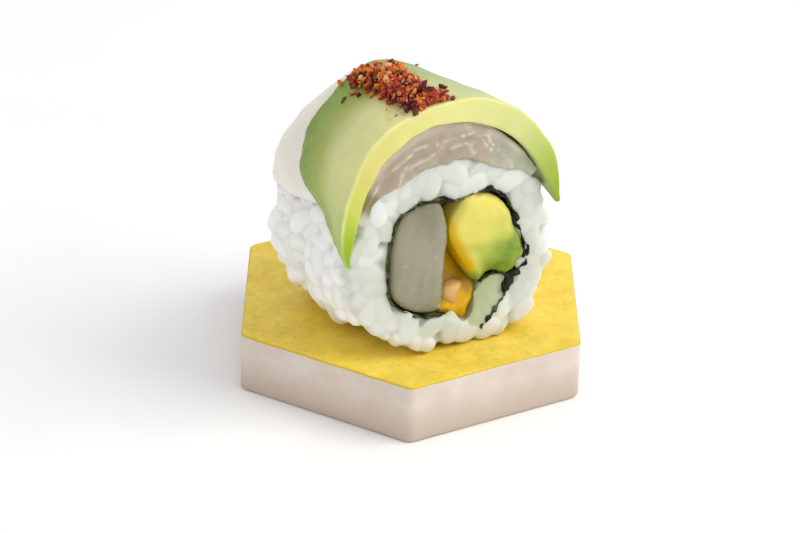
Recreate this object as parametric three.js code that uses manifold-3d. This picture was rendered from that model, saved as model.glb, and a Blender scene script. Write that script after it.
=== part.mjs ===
// A sunset roll on its hexagonal plate: a slice of sushi roll standing on its side, with rice outside and
// nori inside, a bar of fish, one of avocado and one of mango in the middle, a slice of fish and a fan of
// avocado bent over the top, and a little heap of chilli flakes.
//
// Millimetres. The origin is the centre of the plate's underside, +Z is up, the cut face looks along -Y and
// two corners of the hexagon lie on the X axis. The roll's pieces are made in a frame of their own, with x to
// the right, y up and z out of the cut face, all measured from the roll's axis.

import * as THREE from "three";
import { mergeVertices } from "three/addons/utils/BufferGeometryUtils.js";
import Module from "manifold-3d";

const wasm = await Module();
wasm.setup();

// Driving dimensions.
const PLATE_SIDE = 33; // one side of the hexagon
const PLATE_THICK = 10.4;
const PLATE_CORNER = 1.8; // radius of the six upright corners
const PLATE_EDGE = 0.5; // bevel round the top and the underside

const ROLL_X = -3; // the roll's axis lies this far to the right of the plate's middle
const AXIS_UP = 17.5; // and this far above the plate
const FACE = 17.7; // the cut face of the packed rice, without its grains
const BACK = -8.3; // the far face
const SHOULDER = 0.9; // how far the packed rice rounds off towards both faces
const SWELL = 3.3; // how far it spreads at the lower left, behind the cut face
const FOOT = 2.2; // how far its foot stands out of the cut face
const GAP = 0.3; // clearance between neighbours

const GRAIN_LONG = 5.5; // one cooked grain
const GRAIN_WIDE = 3.1;
const GRAIN_FLAT = 0.9; // its height as a share of its width
const GRAIN_SPACING = 2.2; // least distance between the middle lines of two grains
const FACE_TRIES = 3000;
const SIDE_TRIES = 3000;
const NORI_THICK = 0.55;

const FISH_RIGHT = 36; // where the slice of fish ends on the right, in degrees up from there
const AVOCADO_LEFT = 171.5;
const AVOCADO_RIGHT = 16;
const TIP_THICK = 0.8; // the least thickness of a slice

// The heap of flakes for places along the roll: how far right of the axis its middle lies, half its width and
// its height.
const HEAP_MIDDLE = [[-4.8, -6.6], [-2.6, -5.6], [0.2, -4.9], [7, -5.3], [13.8, -5.9], [18.4, -5.2]];
const HEAP_HALF = [
  [-4.8, 0.8], [-2.6, 2.2], [0.2, 3.0], [3.4, 3.1], [7, 2.7], [13.8, 2.9], [16.4, 3.4], [18.4, 2.6],
];
const HEAP_HIGH = [[-4.8, 0.6], [-2.6, 2.1], [0.2, 2.7], [3.4, 2.7], [7, 2.3], [13.8, 1.9], [18.4, 0.7]];
const FLAKES = 52;
const STRAYS = [
  [-8.9, -5.2], [-9.5, 0.4], [-9.5, 2.1], [-11.1, 0], [-9, 8.4], [-9.1, 11.8], [0.1, 12.2], [-1.4, 18.2],
];

// Outlines in pairs of angle and distance from the axis, with 0 to the right and 90 up. The rice is the packed
// core, which its grains stand out from by half a grain.
const RICE = [
  [-172, 18.7], [-156, 18.0], [-136, 16.8], [-117, 16.5], [-90, 17.2], [-65, 18.6], [-46, 20.1], [-30, 20.0],
  [-13, 19.2], [0, 18.5], [15, 17.8], [33, 17.3], [42, 16.9], [50, 15.7], [58, 15.2], [68, 15.2], [80, 15.9],
  [90, 16.4], [97, 15.7], [104, 15.9], [113, 16.5], [124, 16.9], [131, 17.7], [138, 18.6], [150, 18.4],
  [165, 18.4],
];
const FISH_TOP = [
  [16, 19.1], [31, 19.1], [40, 19.4], [53, 20.2], [71, 21.6], [90, 22.9], [111, 22.7], [124, 22.3],
  [132, 22.3], [140, 22.2], [150, 21.7], [158, 21.1], [165, 20.5], [172, 20.0],
];
// How much further out the near end of the fish lies.
const FISH_BULGE = [
  [84, 0], [96, 0.5], [103, 1.1], [109, 1.3], [117, 1.4], [128, 1.3], [138, 0.3], [148, -0.3], [160, -0.1],
  [170, 0],
];
const AVOCADO_TOP = [
  [16, 20.2], [19, 20.3], [26, 21.3], [37, 22.9], [49, 24.1], [63, 25.7], [74, 26.9], [84, 27.4], [92, 27.6],
  [99, 27.8], [105, 28.0], [112, 28.2], [119, 28.4], [128, 28.0], [136, 26.7], [142, 25.8], [148, 25.1],
  [154, 24.4], [160, 23.9], [166, 23.4], [172, 22.5],
];
const AVOCADO_LIFT = [[150, 0], [156, 0.1], [162, 0.5], [168, 1.2]]; // how far it stands off the fish
// The slices' edges: the angle at which the fish ends on the left for each place along the roll, and the
// place along the roll of the avocado's rear and front edges for each angle.
const FISH_LEFT = [[-9, 166], [-4, 166], [1, 163], [4, 161], [18.5, 155]];
const AVOCADO_REAR = [
  [16, 19.0], [24, 14.0], [36, 5.0], [50, -2.0], [66, -5.6], [86, -7.4], [100, -7.2], [110, -5.8],
  [119, -4.4], [126, -4.0], [133, -3.2], [139, -2.0], [145, -0.6], [150, 1.2], [154, 4.2], [158, 10.0],
  [163, 14.2], [168, 18.8], [172, 21.6],
];
const AVOCADO_FRONT = [[16, 19.9], [50, 19.4], [130, 19.4], [155, 20.0], [172, 21.7]];

// The nori's route round the fillings, from its inner end to its outer one, its thickness along the way as a
// multiple of the plain sheet's, and the tuck of it under the avocado.
const NORI_ROUTE = [
  [-2.0, -11.3], [-5.6, -11.2], [-9.6, -9.2], [-11.9, -6.4], [-12.3, -2.0], [-12.1, 3.0], [-11.0, 7.0],
  [-8.9, 9.1], [-6.2, 9.8], [-3.0, 9.8], [0.6, 9.1], [3.8, 9.7], [6.8, 9.6], [9.6, 7.6], [11.4, 4.6],
  [12.6, 1.0], [14.0, -2.0], [14.3, -4.8], [12.8, -7.9], [9.0, -11.8], [4.6, -14.9],
];
const NORI_FOLDS = [
  [0, 1], [0.45, 0.8], [0.47, 1.7], [0.5, 0.9], [0.58, 2.2], [0.62, 1.3], [0.68, 0.9], [0.71, 2.6],
  [0.74, 0.9], [0.79, 2.0], [0.85, 2.4], [0.88, 3.2], [0.91, 1.0], [0.97, 1.6], [1, 1],
];
const TUCK_ROUTE = [[5.4, -7.3], [7.0, -6.5], [9.2, -6.5], [11.2, -7.6], [13.2, -7.4]];

// The three fillings as seen on the cut face. Each is trimmed by the nori and by those before it.
const FISH_BAR = [
  [-3.0, 9.1], [-1.6, 5.5], [-1.1, 2.1], [-1.3, -1.5], [-1.6, -5.2], [-1.8, -8.5], [-2.1, -10.7],
  [-5.2, -10.8], [-9.0, -9.0], [-11.3, -6.5], [-11.9, -2.8], [-11.8, 2.8], [-10.7, 7.0], [-8.7, 8.8],
  [-6.2, 9.4],
];
const MANGO_BAR = [
  [-2.6, -11.0], [-0.6, -12.3], [1.2, -13.4], [2.9, -13.8], [5.7, -8.0], [4.6, -6.6], [2.6, -3.9],
  [0.4, 0.2], [-0.4, 4.2], [0.6, 7.4], [0.4, 9.2], [-3.4, 9.8], [-2.2, 4.0], [-2.0, -4.0],
];
const AVOCADO_BAR = [
  [1.0, 8.8], [2.6, 9.3], [5.3, 9.2], [8.2, 7.8], [9.9, 6.0], [10.9, 4.4], [11.6, 2.2], [13.3, -1.1],
  [13.8, -3.5], [12.8, -5.8], [10.6, -7.0], [8.0, -6.0], [6.1, -6.4], [3.9, -6.5], [2.6, -4.2],
  [0.9, -1.0], [-0.8, 2.2], [-1.4, 4.6], [-0.8, 6.9],
];
// How far the mango's face lies back, for heights from its foot up.
const MANGO_DIP = [[-13.7, 0.6], [-9.5, 1.2], [-6, 3.2], [9.5, 3.4]];

const PAST = 12; // how far a cutting bar runs past both faces
const FINEST = 0.06; // what is finer than this is smoothed away after a join
const WELD = 1e-4; // vertices this close are one

const between = (low, high, share) => low + (high - low) * share;
const radians = THREE.MathUtils.degToRad;

// Seeded random numbers from 0 to 1, so that every run gives the same grains.
function dice(seed) {
  let state = seed;
  return () => {
    state = (state * 1664525 + 1013904223) % 4294967296;
    return state / 4294967296;
  };
}

// A smooth function through pairs of place and value, level beyond both ends.
function profile(pairs) {
  const places = pairs.map(([place]) => place);
  const values = pairs.map(([, value]) => value);
  const curve = new THREE.CubicInterpolant(places, values, 1);
  return (place) => curve.evaluate(THREE.MathUtils.clamp(place, places[0], places.at(-1)))[0];
}

// The same for an outline that closes on itself after a full turn.
function ringProfile(pairs) {
  return profile([-360, 0, 360].flatMap((turn) => pairs.map(([angle, radius]) => [angle + turn, radius])));
}

// A smooth line through a few points, or a smooth ring.
function smooth(points, steps, closed = false) {
  const corners = points.map(([x, y]) => new THREE.Vector3(x, y, 0));
  const curve = new THREE.CatmullRomCurve3(corners, closed, "centripetal");
  const line = curve.getSpacedPoints(steps).map(({ x, y }) => new THREE.Vector2(x, y));
  return closed ? line.slice(0, -1) : line;
}

// The outline of a strip that follows a line, with its width from 0 to 1 along it and something added.
function ribbon(line, width, added = 0) {
  const left = [];
  const right = [];
  line.forEach((point, i) => {
    const before = line[Math.max(i - 1, 0)];
    const after = line[Math.min(i + 1, line.length - 1)];
    const ahead = after.clone().sub(before).normalize();
    const across = new THREE.Vector2(-ahead.y, ahead.x);
    const half = (width(i / (line.length - 1)) + added) / 2;
    const past = (i === 0 ? -added : i === line.length - 1 ? added : 0) / 2;
    const middle = point.clone().addScaledVector(ahead, past);
    left.push(middle.clone().addScaledVector(across, half));
    right.push(middle.clone().addScaledVector(across, -half));
  });
  return [...left, ...right.reverse()];
}

// A ring moved outwards by a distance.
function grown(ring, by) {
  const side = THREE.ShapeUtils.isClockWise(ring) ? -by : by;
  return ring.map((point, i) => {
    const before = ring.at(i - 1);
    const after = ring[(i + 1) % ring.length];
    const out = new THREE.Vector2(after.y - before.y, before.x - after.x).normalize();
    return point.clone().addScaledVector(out, side);
  });
}

// A geometry whose every vertex is moved by a function.
function warped(geometry, move) {
  const position = geometry.attributes.position;
  const point = new THREE.Vector3();
  for (let i = 0; i < position.count; i++) {
    move(point.fromBufferAttribute(position, i));
    position.setXYZ(i, point.x, point.y, point.z);
  }
  return geometry;
}

// A three.js geometry as a solid.
function solid(geometry) {
  geometry.deleteAttribute("normal");
  geometry.deleteAttribute("uv");
  const merged = mergeVertices(geometry, WELD);
  const vertProperties = merged.attributes.position.array;
  const triVerts = new Uint32Array(merged.index.array);
  return new wasm.Manifold(new wasm.Mesh({ numProp: 3, vertProperties, triVerts }));
}

const joined = (bodies) => wasm.Manifold.union(bodies);

// A solid as a named mesh. Scraps that a cut left loose are dropped.
function piece(name, body, color, roughness) {
  const bodies = body.simplify(FINEST).decompose();
  bodies.sort((a, b) => b.volume() - a.volume());
  const { vertProperties, triVerts } = bodies[0].getMesh();
  const geometry = new THREE.BufferGeometry();
  geometry.setAttribute("position", new THREE.BufferAttribute(vertProperties, 3));
  geometry.setIndex(new THREE.BufferAttribute(triVerts, 1));
  const mesh = new THREE.Mesh(geometry, new THREE.MeshStandardMaterial({ color, roughness, metalness: 0 }));
  mesh.name = name;
  return mesh;
}

// A bar of one outline that runs along the roll, rounded over at both ends. Its front lies back by dip(y).
function bar(outline, back, front, round = 0, dip = () => 0) {
  const geometry = new THREE.ExtrudeGeometry(new THREE.Shape(outline), {
    depth: front - back - 2 * round,
    bevelEnabled: round > 0,
    bevelThickness: round,
    bevelSize: round,
    bevelOffset: -round,
    bevelSegments: 1,
  });
  geometry.translate(0, 0, back + round);
  return solid(
    warped(geometry, (point) => {
      if (point.z > (front + back) / 2) point.z -= dip(point.y);
    }),
  );
}

// A slab bent over the roll. The function gives angle, radius and z for u along the arch from left to right,
// v from the inner face to the outer and w from the far edge to the near one, each from 0 to 1.
function bentSlab(along, through, across, place) {
  const box = new THREE.BoxGeometry(1, 1, 1, along, through, across).translate(0.5, 0.5, 0.5);
  return solid(
    warped(box, (point) => {
      const { angle, radius, z } = place(point.x, point.y, point.z);
      point.set(radius * Math.cos(radians(angle)), radius * Math.sin(radians(angle)), z);
    }),
  );
}

// The plate: one hexagonal block with soft corners and a small bevel round both faces.
function plateBody() {
  const shape = new THREE.Shape();
  const corner = new THREE.Vector2();
  for (let i = 0; i < 6; i++) {
    const angle = (i * Math.PI) / 3;
    corner.set(PLATE_SIDE - PLATE_CORNER / Math.cos(Math.PI / 6), 0).rotateAround(new THREE.Vector2(), angle);
    shape.absarc(corner.x, corner.y, PLATE_CORNER, angle - Math.PI / 6, angle + Math.PI / 6, false);
  }
  const geometry = new THREE.ExtrudeGeometry(shape, {
    depth: PLATE_THICK - 2 * PLATE_EDGE,
    curveSegments: 3,
    bevelThickness: PLATE_EDGE,
    bevelSize: PLATE_EDGE,
    bevelOffset: -PLATE_EDGE,
    bevelSegments: 1,
  });
  return solid(geometry.translate(0, 0, PLATE_EDGE));
}

const riceOutline = ringProfile(RICE);
const fishFar = profile(FISH_TOP);
const fishBulge = profile(FISH_BULGE);
const fishLeft = profile(FISH_LEFT);
const avocadoTop = profile(AVOCADO_TOP);
const avocadoLift = profile(AVOCADO_LIFT);
const avocadoRear = profile(AVOCADO_REAR);
const avocadoFront = profile(AVOCADO_FRONT);
const noriFolds = profile(NORI_FOLDS);
const mangoDip = profile(MANGO_DIP);
const heapMiddle = profile(HEAP_MIDDLE);
const heapHalf = profile(HEAP_HALF);
const heapHigh = profile(HEAP_HIGH);

// The packed rice's radius: its outline, which spreads over the plate at the lower left.
function riceRadius(angle, z) {
  const from = ((angle + 138 + 540) % 360) - 180; // degrees from the middle of the spread
  const behind = between(0.5, 1, THREE.MathUtils.smoothstep(FACE - z, 0, 13));
  return riceOutline(angle) + SWELL * behind * Math.exp(-((from / 27) ** 2));
}

// Where the cut face lies at a height from the axis, with the foot of the roll standing out.
const faceAt = (y) => FACE + FOOT * THREE.MathUtils.smoothstep(-y, 9, 16);

// A point at an angle and radius from the roll's axis.
function around(angle, radius, z) {
  return new THREE.Vector3(radius * Math.cos(radians(angle)), radius * Math.sin(radians(angle)), z);
}

// The packed rice, flat where it rests, with no grains or filling yet.
function riceCore() {
  const barrel = new THREE.CylinderGeometry(1, 1, 1, 44, 5).rotateX(Math.PI / 2);
  return solid(
    warped(barrel, (point) => {
      const share = point.z + 0.5;
      const z = between(BACK, FACE, THREE.MathUtils.smootherstep(share, 0, 1));
      const angle = THREE.MathUtils.radToDeg(Math.atan2(point.y, point.x));
      const end = share < 0.01 || share > 0.99 ? SHOULDER : 0;
      point.setLength(Math.hypot(point.x, point.y) > 0.5 ? riceRadius(angle, z) - end : 0);
      point.y = Math.max(point.y, GAP - AXIS_UP);
      point.z = share > 0.9 ? faceAt(point.y) : z;
    }),
  );
}

// The outer radius of the slice of fish.
const fishTop = (angle, z) => fishFar(angle) + fishBulge(angle) * THREE.MathUtils.smoothstep(z, -2, 15);

// The slice of fish: it hugs the rice and thins towards both ends.
function fishSlice() {
  return bentSlab(24, 1, 4, (u, v, w) => {
    const z = between(BACK - 0.6, FACE + 0.6, w);
    const angle = between(fishLeft(z), FISH_RIGHT, u);
    const inner = riceRadius(angle, z) + GAP;
    const worn = u === 0 ? 0.5 : 0; // its left end is rounded over
    const thick = Math.max(TIP_THICK, (fishTop(angle, z) - inner) * (1 - worn));
    return { angle, radius: inner + thick * v, z };
  });
}

// The avocado's inner radius.
const avocadoInner = (angle, z) => fishTop(angle, z) + GAP + avocadoLift(angle);

// The avocado's outer radius: full at its near edge and thin at the far one.
function avocadoRadius(angle, z) {
  const rear = avocadoRear(angle);
  const share = THREE.MathUtils.clamp((z - rear) / (avocadoFront(angle) - rear), 0, 1);
  const full = Math.max(TIP_THICK, avocadoTop(angle) - avocadoInner(angle, FACE));
  return avocadoInner(angle, z) + between(TIP_THICK, full, share);
}

// The avocado: one crescent of a fan, a wedge across, with a pointed tip at each end.
function avocadoSlice() {
  return bentSlab(26, 1, 4, (u, v, w) => {
    const angle = between(AVOCADO_LEFT, AVOCADO_RIGHT, u);
    const z = between(avocadoRear(angle), avocadoFront(angle), w);
    return { angle, radius: between(avocadoInner(angle, z), avocadoRadius(angle, z), v), z };
  });
}

// The point on top of the avocado that lies x to the right of the axis and z along the roll, and the way out.
function onAvocado(x, z) {
  let radius = 25;
  let angle = 90;
  for (let i = 0; i < 4; i++) {
    angle = THREE.MathUtils.radToDeg(Math.acos(x / radius));
    radius = avocadoRadius(angle, z);
  }
  return { at: around(angle, radius, z), out: around(angle, 1, 0) };
}

// One crumb, an uneven octahedron turned at random.
function flake(at, random) {
  const shape = new THREE.OctahedronGeometry(1);
  shape.scale(between(0.7, 1.25, random()), between(0.45, 0.75, random()), between(0.6, 0.95, random()));
  shape.rotateX(random() * Math.PI).rotateY(random() * Math.PI).rotateZ(random() * Math.PI);
  return solid(shape.translate(at.x, at.y, at.z));
}

// A point of the heap from 0 to 1 along it and -1 to 1 across, and a share of its height above the avocado.
function inHeap(along, across, rise) {
  const z = between(HEAP_MIDDLE[0][0], HEAP_MIDDLE.at(-1)[0], along);
  const { at, out } = onAvocado(heapMiddle(z) + across * heapHalf(z), z);
  return at.addScaledVector(out, rise * heapHigh(z) * Math.sqrt(Math.max(0, 1 - across * across)));
}

// The heap of flakes: a low mound with crumbs all over it, and a few that rolled off.
function flakeHeap() {
  const random = dice(41);
  const mound = new THREE.BoxGeometry(1, 1, 1, 4, 1, 7).translate(0, 0.5, 0.5);
  warped(mound, (point) => point.copy(inHeap(point.z, 1.8 * point.x, between(-0.3, 0.8, point.y))));
  const bodies = [solid(mound)];
  for (let i = 0; i < FLAKES; i++) {
    const along = (i + 0.5) / FLAKES;
    const across = between(-0.95, 0.95, (i * Math.SQRT2) % 1);
    bodies.push(flake(inHeap(along, across, between(0.8, 1, random())), random));
  }
  STRAYS.forEach(([strayX, strayZ]) => bodies.push(flake(onAvocado(strayX, strayZ).at, random)));
  return joined(bodies);
}

// One grain of rice lying along a direction, with its flatter side out.
function grain({ at, along, out }, length, width) {
  const side = new THREE.Vector3().crossVectors(along, out).normalize();
  const up = new THREE.Vector3().crossVectors(side, along);
  const size = new THREE.Vector3(width / 2, length / 2, (width * GRAIN_FLAT) / 2);
  const frame = new THREE.Matrix4().makeBasis(side, along, up).scale(size).setPosition(at);
  return solid(new THREE.SphereGeometry(1, 5, 4).applyMatrix4(frame));
}

// The middle line of a grain as three points.
function middleLine({ at, along }, length) {
  const reach = (length - GRAIN_WIDE) / 2;
  return [-reach, 0, reach].map((step) => at.clone().addScaledVector(along, step));
}

// A random place for a grain on the outside of the roll, clear of the stretch under the slices.
function sideSpot(random) {
  const z = between(BACK - 0.3, FACE + 0.2, random());
  const angle = between(fishLeft(z) - 362, FISH_RIGHT + 2, random());
  const turn = random() * Math.PI;
  const out = around(angle, 1, 0);
  const along = new THREE.Vector3(-out.y, out.x, 0).multiplyScalar(Math.cos(turn));
  along.z = Math.sin(turn);
  along.addScaledVector(out, between(-0.2, 0.2, random())).normalize();
  return { at: around(angle, riceRadius(angle, z) + between(-0.1, 0.5, random()), z), along, out };
}

// A random place for a grain on the cut face, or on the far one.
function faceSpot(random) {
  const near = random() < 0.5;
  const angle = random() * 360 - 180;
  const z = near ? FACE : BACK;
  const radius = (riceRadius(angle, z) - 0.5) * Math.sqrt(between(0.4, 1, random()));
  const turn = radians(angle + 90) + between(-1.1, 1.1, random()); // mostly along the ring
  const out = new THREE.Vector3(0, 0, near ? 1 : -1);
  const along = new THREE.Vector3(Math.cos(turn), Math.sin(turn), between(-0.2, 0.2, random())).normalize();
  const at = around(angle, radius, z + out.z * between(-0.2, 0.3, random()));
  if (near) at.z += faceAt(at.y) - FACE;
  return { at, along, out };
}

// The grains that show, each as a solid, clear of the fillings and of what lies round the roll. One that isn't
// is pushed in, then shortened, and left out if that doesn't help.
function riceGrains(fillings, neighbours) {
  const random = dice(7);
  const lines = [];
  const grains = [];
  for (let i = 0; i < FACE_TRIES + SIDE_TRIES; i++) {
    const spot = i < FACE_TRIES ? faceSpot(random) : sideSpot(random);
    const long = GRAIN_LONG * between(0.86, 1.12, random());
    const wide = GRAIN_WIDE * between(0.9, 1.1, random());
    const line = middleLine(spot, long);
    const tooNear = (other) => line.some((a) => other.some((b) => a.distanceTo(b) < GRAIN_SPACING));
    if (lines.some(tooNear)) continue;
    for (const [sink, share] of [[0, 1], [0.7, 1], [0.2, 0.78], [0.8, 0.7]]) {
      const place = { ...spot, at: spot.at.clone().addScaledVector(spot.out, -sink) };
      const body = grain(place, long * share, wide);
      const room = grain(place, long * share + 2 * GAP, wide + 2 * GAP);
      if (!body.intersect(fillings).isEmpty() || !room.intersect(neighbours).isEmpty()) continue;
      lines.push(line);
      grains.push(body);
      break;
    }
  }
  return grains;
}

// The nori and the fillings.
const noriLine = smooth(NORI_ROUTE, 66);
const tuckLine = smooth(TUCK_ROUTE, 12);
const noriWidth = (share) => NORI_THICK * Math.max(noriFolds(share), 0.6);
const tuckWidth = () => NORI_THICK;
const fishRing = smooth(FISH_BAR, 36, true);
const mangoRing = smooth(MANGO_BAR, 30, true);
const avocadoRing = smooth(AVOCADO_BAR, 40, true);

function noriBody(back, front, added = 0) {
  const sheets = [ribbon(noriLine, noriWidth, added), ribbon(tuckLine, tuckWidth, added)];
  return joined(sheets.map((sheet) => bar(sheet, back, front, 0, (y) => FACE - faceAt(y))));
}

const cutter = (ring) => bar(grown(ring, GAP), BACK - PAST, FACE + PAST);
const noriCut = noriBody(BACK - PAST, FACE + PAST, 2 * GAP);
const nori = noriBody(BACK - 0.2, FACE + 0.3);
const fishBar = bar(fishRing, BACK - 0.4, FACE + 0.5, 0.5).subtract(noriCut);
const avocadoBar = bar(avocadoRing, BACK - 0.4, FACE + 0.9, 0.8).subtract(joined([noriCut, cutter(fishRing)]));
const mangoAlone = bar(mangoRing, BACK - 0.3, FACE + 0.6, 0.3, mangoDip);
const mangoBar = mangoAlone.subtract(joined([noriCut, cutter(fishRing), cutter(avocadoRing)]));
const fillingCut = joined([noriCut, cutter(fishRing), cutter(mangoRing), cutter(avocadoRing)]);

// A grain of rice that strayed onto the mango's face.
const upright = new THREE.Vector3(0.29, 0.96, 0);
const outwards = new THREE.Vector3(0, 0, 1);
const strayAt = new THREE.Vector3(0.4, -8.4, FACE - 1.6);
const strayGrain = grain({ at: strayAt, along: upright, out: outwards }, 4.6, 3.4);

// The slices on top, and the rice with its grains round all of that.
const fishOver = fishSlice();
const avocadoOver = avocadoSlice();
const slab = new THREE.BoxGeometry(2 * PLATE_SIDE, 1, 2 * PLATE_SIDE);
const plateTop = solid(slab.translate(0, -AXIS_UP - 0.5, 0));
const core = riceCore().subtract(fillingCut);
const rice = joined([core, ...riceGrains(fillingCut, joined([fishOver, avocadoOver, plateTop]))]);

const roll = new THREE.Group();
roll.rotation.x = Math.PI / 2;
roll.position.set(ROLL_X, 0, PLATE_THICK + AXIS_UP);
roll.add(
  piece("rice", rice, 0xdedfd8, 0.45),
  piece("nori", nori, 0x1b221a, 0.5),
  piece("fish_filling", fishBar, 0x9d9882, 0.3),
  piece("mango_filling", joined([mangoBar, strayGrain]), 0xd9a11a, 0.3),
  piece("avocado_filling", avocadoBar, 0xd3cf66, 0.4),
  piece("fish_slice", fishOver, 0xdad4c6, 0.3),
  piece("avocado_slice", joined([avocadoOver, flakeHeap()]), 0xc6cf7c, 0.4),
);

const whole = new THREE.Group();
whole.add(piece("plate", plateBody(), 0xefd45c, 0.7), roll);
export default whole;
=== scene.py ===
import math

import bmesh
import bpy
import numpy as np
from mathutils import Matrix, Vector, kdtree


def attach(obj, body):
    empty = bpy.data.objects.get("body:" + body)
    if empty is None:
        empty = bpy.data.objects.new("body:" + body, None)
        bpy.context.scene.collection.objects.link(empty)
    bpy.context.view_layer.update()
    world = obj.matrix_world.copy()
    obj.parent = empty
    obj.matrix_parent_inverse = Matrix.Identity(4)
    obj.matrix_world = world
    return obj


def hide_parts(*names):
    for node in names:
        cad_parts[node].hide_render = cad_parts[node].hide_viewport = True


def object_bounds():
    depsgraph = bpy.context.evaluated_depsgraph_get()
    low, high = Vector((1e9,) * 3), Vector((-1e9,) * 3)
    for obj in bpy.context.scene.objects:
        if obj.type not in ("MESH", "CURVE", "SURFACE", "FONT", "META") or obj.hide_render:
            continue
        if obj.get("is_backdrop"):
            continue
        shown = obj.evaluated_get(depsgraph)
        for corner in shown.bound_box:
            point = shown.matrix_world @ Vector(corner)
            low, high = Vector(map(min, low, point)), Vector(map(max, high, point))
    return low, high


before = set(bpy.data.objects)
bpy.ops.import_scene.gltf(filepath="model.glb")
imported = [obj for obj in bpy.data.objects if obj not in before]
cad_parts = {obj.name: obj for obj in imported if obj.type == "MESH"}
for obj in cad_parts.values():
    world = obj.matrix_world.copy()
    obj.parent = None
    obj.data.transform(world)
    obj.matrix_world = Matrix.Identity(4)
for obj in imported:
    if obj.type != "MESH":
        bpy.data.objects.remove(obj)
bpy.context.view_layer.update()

# The plate: a thick hexagonal block of pale stoneware, pressed in a mould and fired, with soft corners. Only
# its top is glazed, a mustard yellow that ends in a thin line at the edge. The roll lies on it.
PLATE_SIDE = 33.0  # millimetres, as all sizes here
PLATE_THICK = 10.4
PLATE_CORNER = 1.8
PLATE_EDGE = 0.5
GLAZE_DOWN = 0.34  # how far the glaze runs over the edge
GLAZE_WAVER = 0.18  # how much its lower end wavers
GLAZE_FADE = 0.06  # over what height it thins out there
LINE_FULL = 0.08  # the darker line at its end is full up to here above the end
LINE_GONE = 0.3  # and gone here
CLAY_DARKENS = 7.0  # height below which the clay is darkened towards the table, painted shade at its foot
CLAY_DARKEST = 0.5
MM = 0.001  # a millimetre in metres

GLAZE = "#fcd63f"
GLAZE_PALE = "#ffe36c"
GLAZE_SPECK = "#a5831c"
GLAZE_LINE = "#cbae12"
CLAY = "#e2d5ca"
CLAY_DARK = "#d2c1b3"
# Painted shade at the foot of the side, darker towards the table.
CLAY_FOOT_SHADE = "#c3b1a0"


def colour(code):
    """A web colour as Blender's linear one."""
    parts = [int(code[i : i + 2], 16) / 255 for i in (1, 3, 5)]
    return [c / 12.92 if c < 0.04 else ((c + 0.055) / 1.055) ** 2.4 for c in parts] + [1]


def add(tree, kind, inputs=None, **settings):
    """A shader node whose inputs are set to values or joined to other nodes' outputs."""
    made = tree.nodes.new("ShaderNode" + kind)
    for name, value in settings.items():
        setattr(made, name, value)
    for name, value in (inputs or {}).items():
        if isinstance(value, bpy.types.NodeSocket):
            tree.links.new(value, made.inputs[name])
        else:
            made.inputs[name].default_value = value
    return made


def blend(tree, share, first, second):
    """The first colour going over to the second as share goes from 0 to 1."""
    ends = [colour(c) if isinstance(c, str) else c for c in (first, second)]
    made = add(tree, "Mix", {0: share, 6: ends[0], 7: ends[1]}, data_type="RGBA")
    return made.outputs[2]


def span(tree, value, low, high, start=0.0, end=1.0):
    """Value from low to high spread over start to end, and held there beyond."""
    inputs = {"Value": value, "From Min": low, "From Max": high, "To Min": start, "To Max": end}
    return add(tree, "MapRange", inputs).outputs["Result"]


def ramp(tree, share, stops):
    """A run of colours along share, as pairs of place and colour."""
    made = add(tree, "ValToRGB", {"Fac": share})
    elements = made.color_ramp.elements
    while len(elements) < len(stops):
        elements.new(0.5)
    for element, (place, code) in zip(elements, stops):
        element.position = place
        element.color = colour(code)
    return made.outputs["Color"]


def reckon(tree, operation, first, second):
    """What a Math node makes of two numbers or masks."""
    return add(tree, "Math", {0: first, 1: second}, operation=operation).outputs[0]


def stain_and_painted_light(tree, body, where, share, second):
    """A body colour going over to a second one where a mask says, up to a share; used for real stains and
    for painted light and shade.
    """
    return blend(tree, reckon(tree, "MULTIPLY", where, share), body, second)


def mottle_group():
    """Cloudy patches: Size in millimetres, and how much of the surface and how sharply they cover."""
    tree = bpy.data.node_groups.new("Mottle", "ShaderNodeTree")
    for label in ("Size", "Cover", "Soft"):
        tree.interface.new_socket(label, in_out="INPUT", socket_type="NodeSocketFloat")
    tree.interface.new_socket("Mask", in_out="OUTPUT", socket_type="NodeSocketFloat")
    size, cover, soft = tree.nodes.new("NodeGroupInput").outputs[:3]
    place = add(tree, "TexCoord").outputs["Object"]
    scale = reckon(tree, "DIVIDE", 1 / MM, size)
    cloud = add(tree, "TexNoise", {"Vector": place, "Scale": scale, "Detail": 4.0, "Roughness": 0.6})
    edge = reckon(tree, "SUBTRACT", 1.0, cover)
    low = reckon(tree, "SUBTRACT", edge, soft)
    high = reckon(tree, "ADD", edge, soft)
    end = tree.nodes.new("NodeGroupOutput")
    tree.links.new(span(tree, cloud.outputs["Fac"], low, high), end.inputs["Mask"])
    return tree


def mottle(tree, size, cover=0.5, soft=0.15):
    """One use of the patches in a material."""
    inputs = {"Size": size, "Cover": cover, "Soft": soft}
    return add(tree, "Group", inputs, node_tree=mottled).outputs["Mask"]


def finish(name, **settings):
    """A new material and its node tree, with the shader's uniform settings."""
    made = bpy.data.materials.new(name)
    made.use_nodes = True
    for label, value in settings.items():
        made.node_tree.nodes["Principled BSDF"].inputs[label.replace("_", " ")].default_value = value
    return made, made.node_tree


def drive(tree, label, value):
    """Joins a varying colour or number to one of the shader's sockets."""
    tree.links.new(value, tree.nodes["Principled BSDF"].inputs[label])


def relief(tree, height, depth):
    """Fine relief of a height mask, depth millimetres deep."""
    inputs = {"Height": height, "Strength": 1.0, "Distance": depth * MM}
    drive(tree, "Normal", add(tree, "Bump", inputs).outputs["Normal"])


def pores(tree, size, depth):
    """A fine unevenness in patches, with their size and depth in millimetres."""
    relief(tree, mottle(tree, size, 0.5, 0.4), depth)


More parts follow.
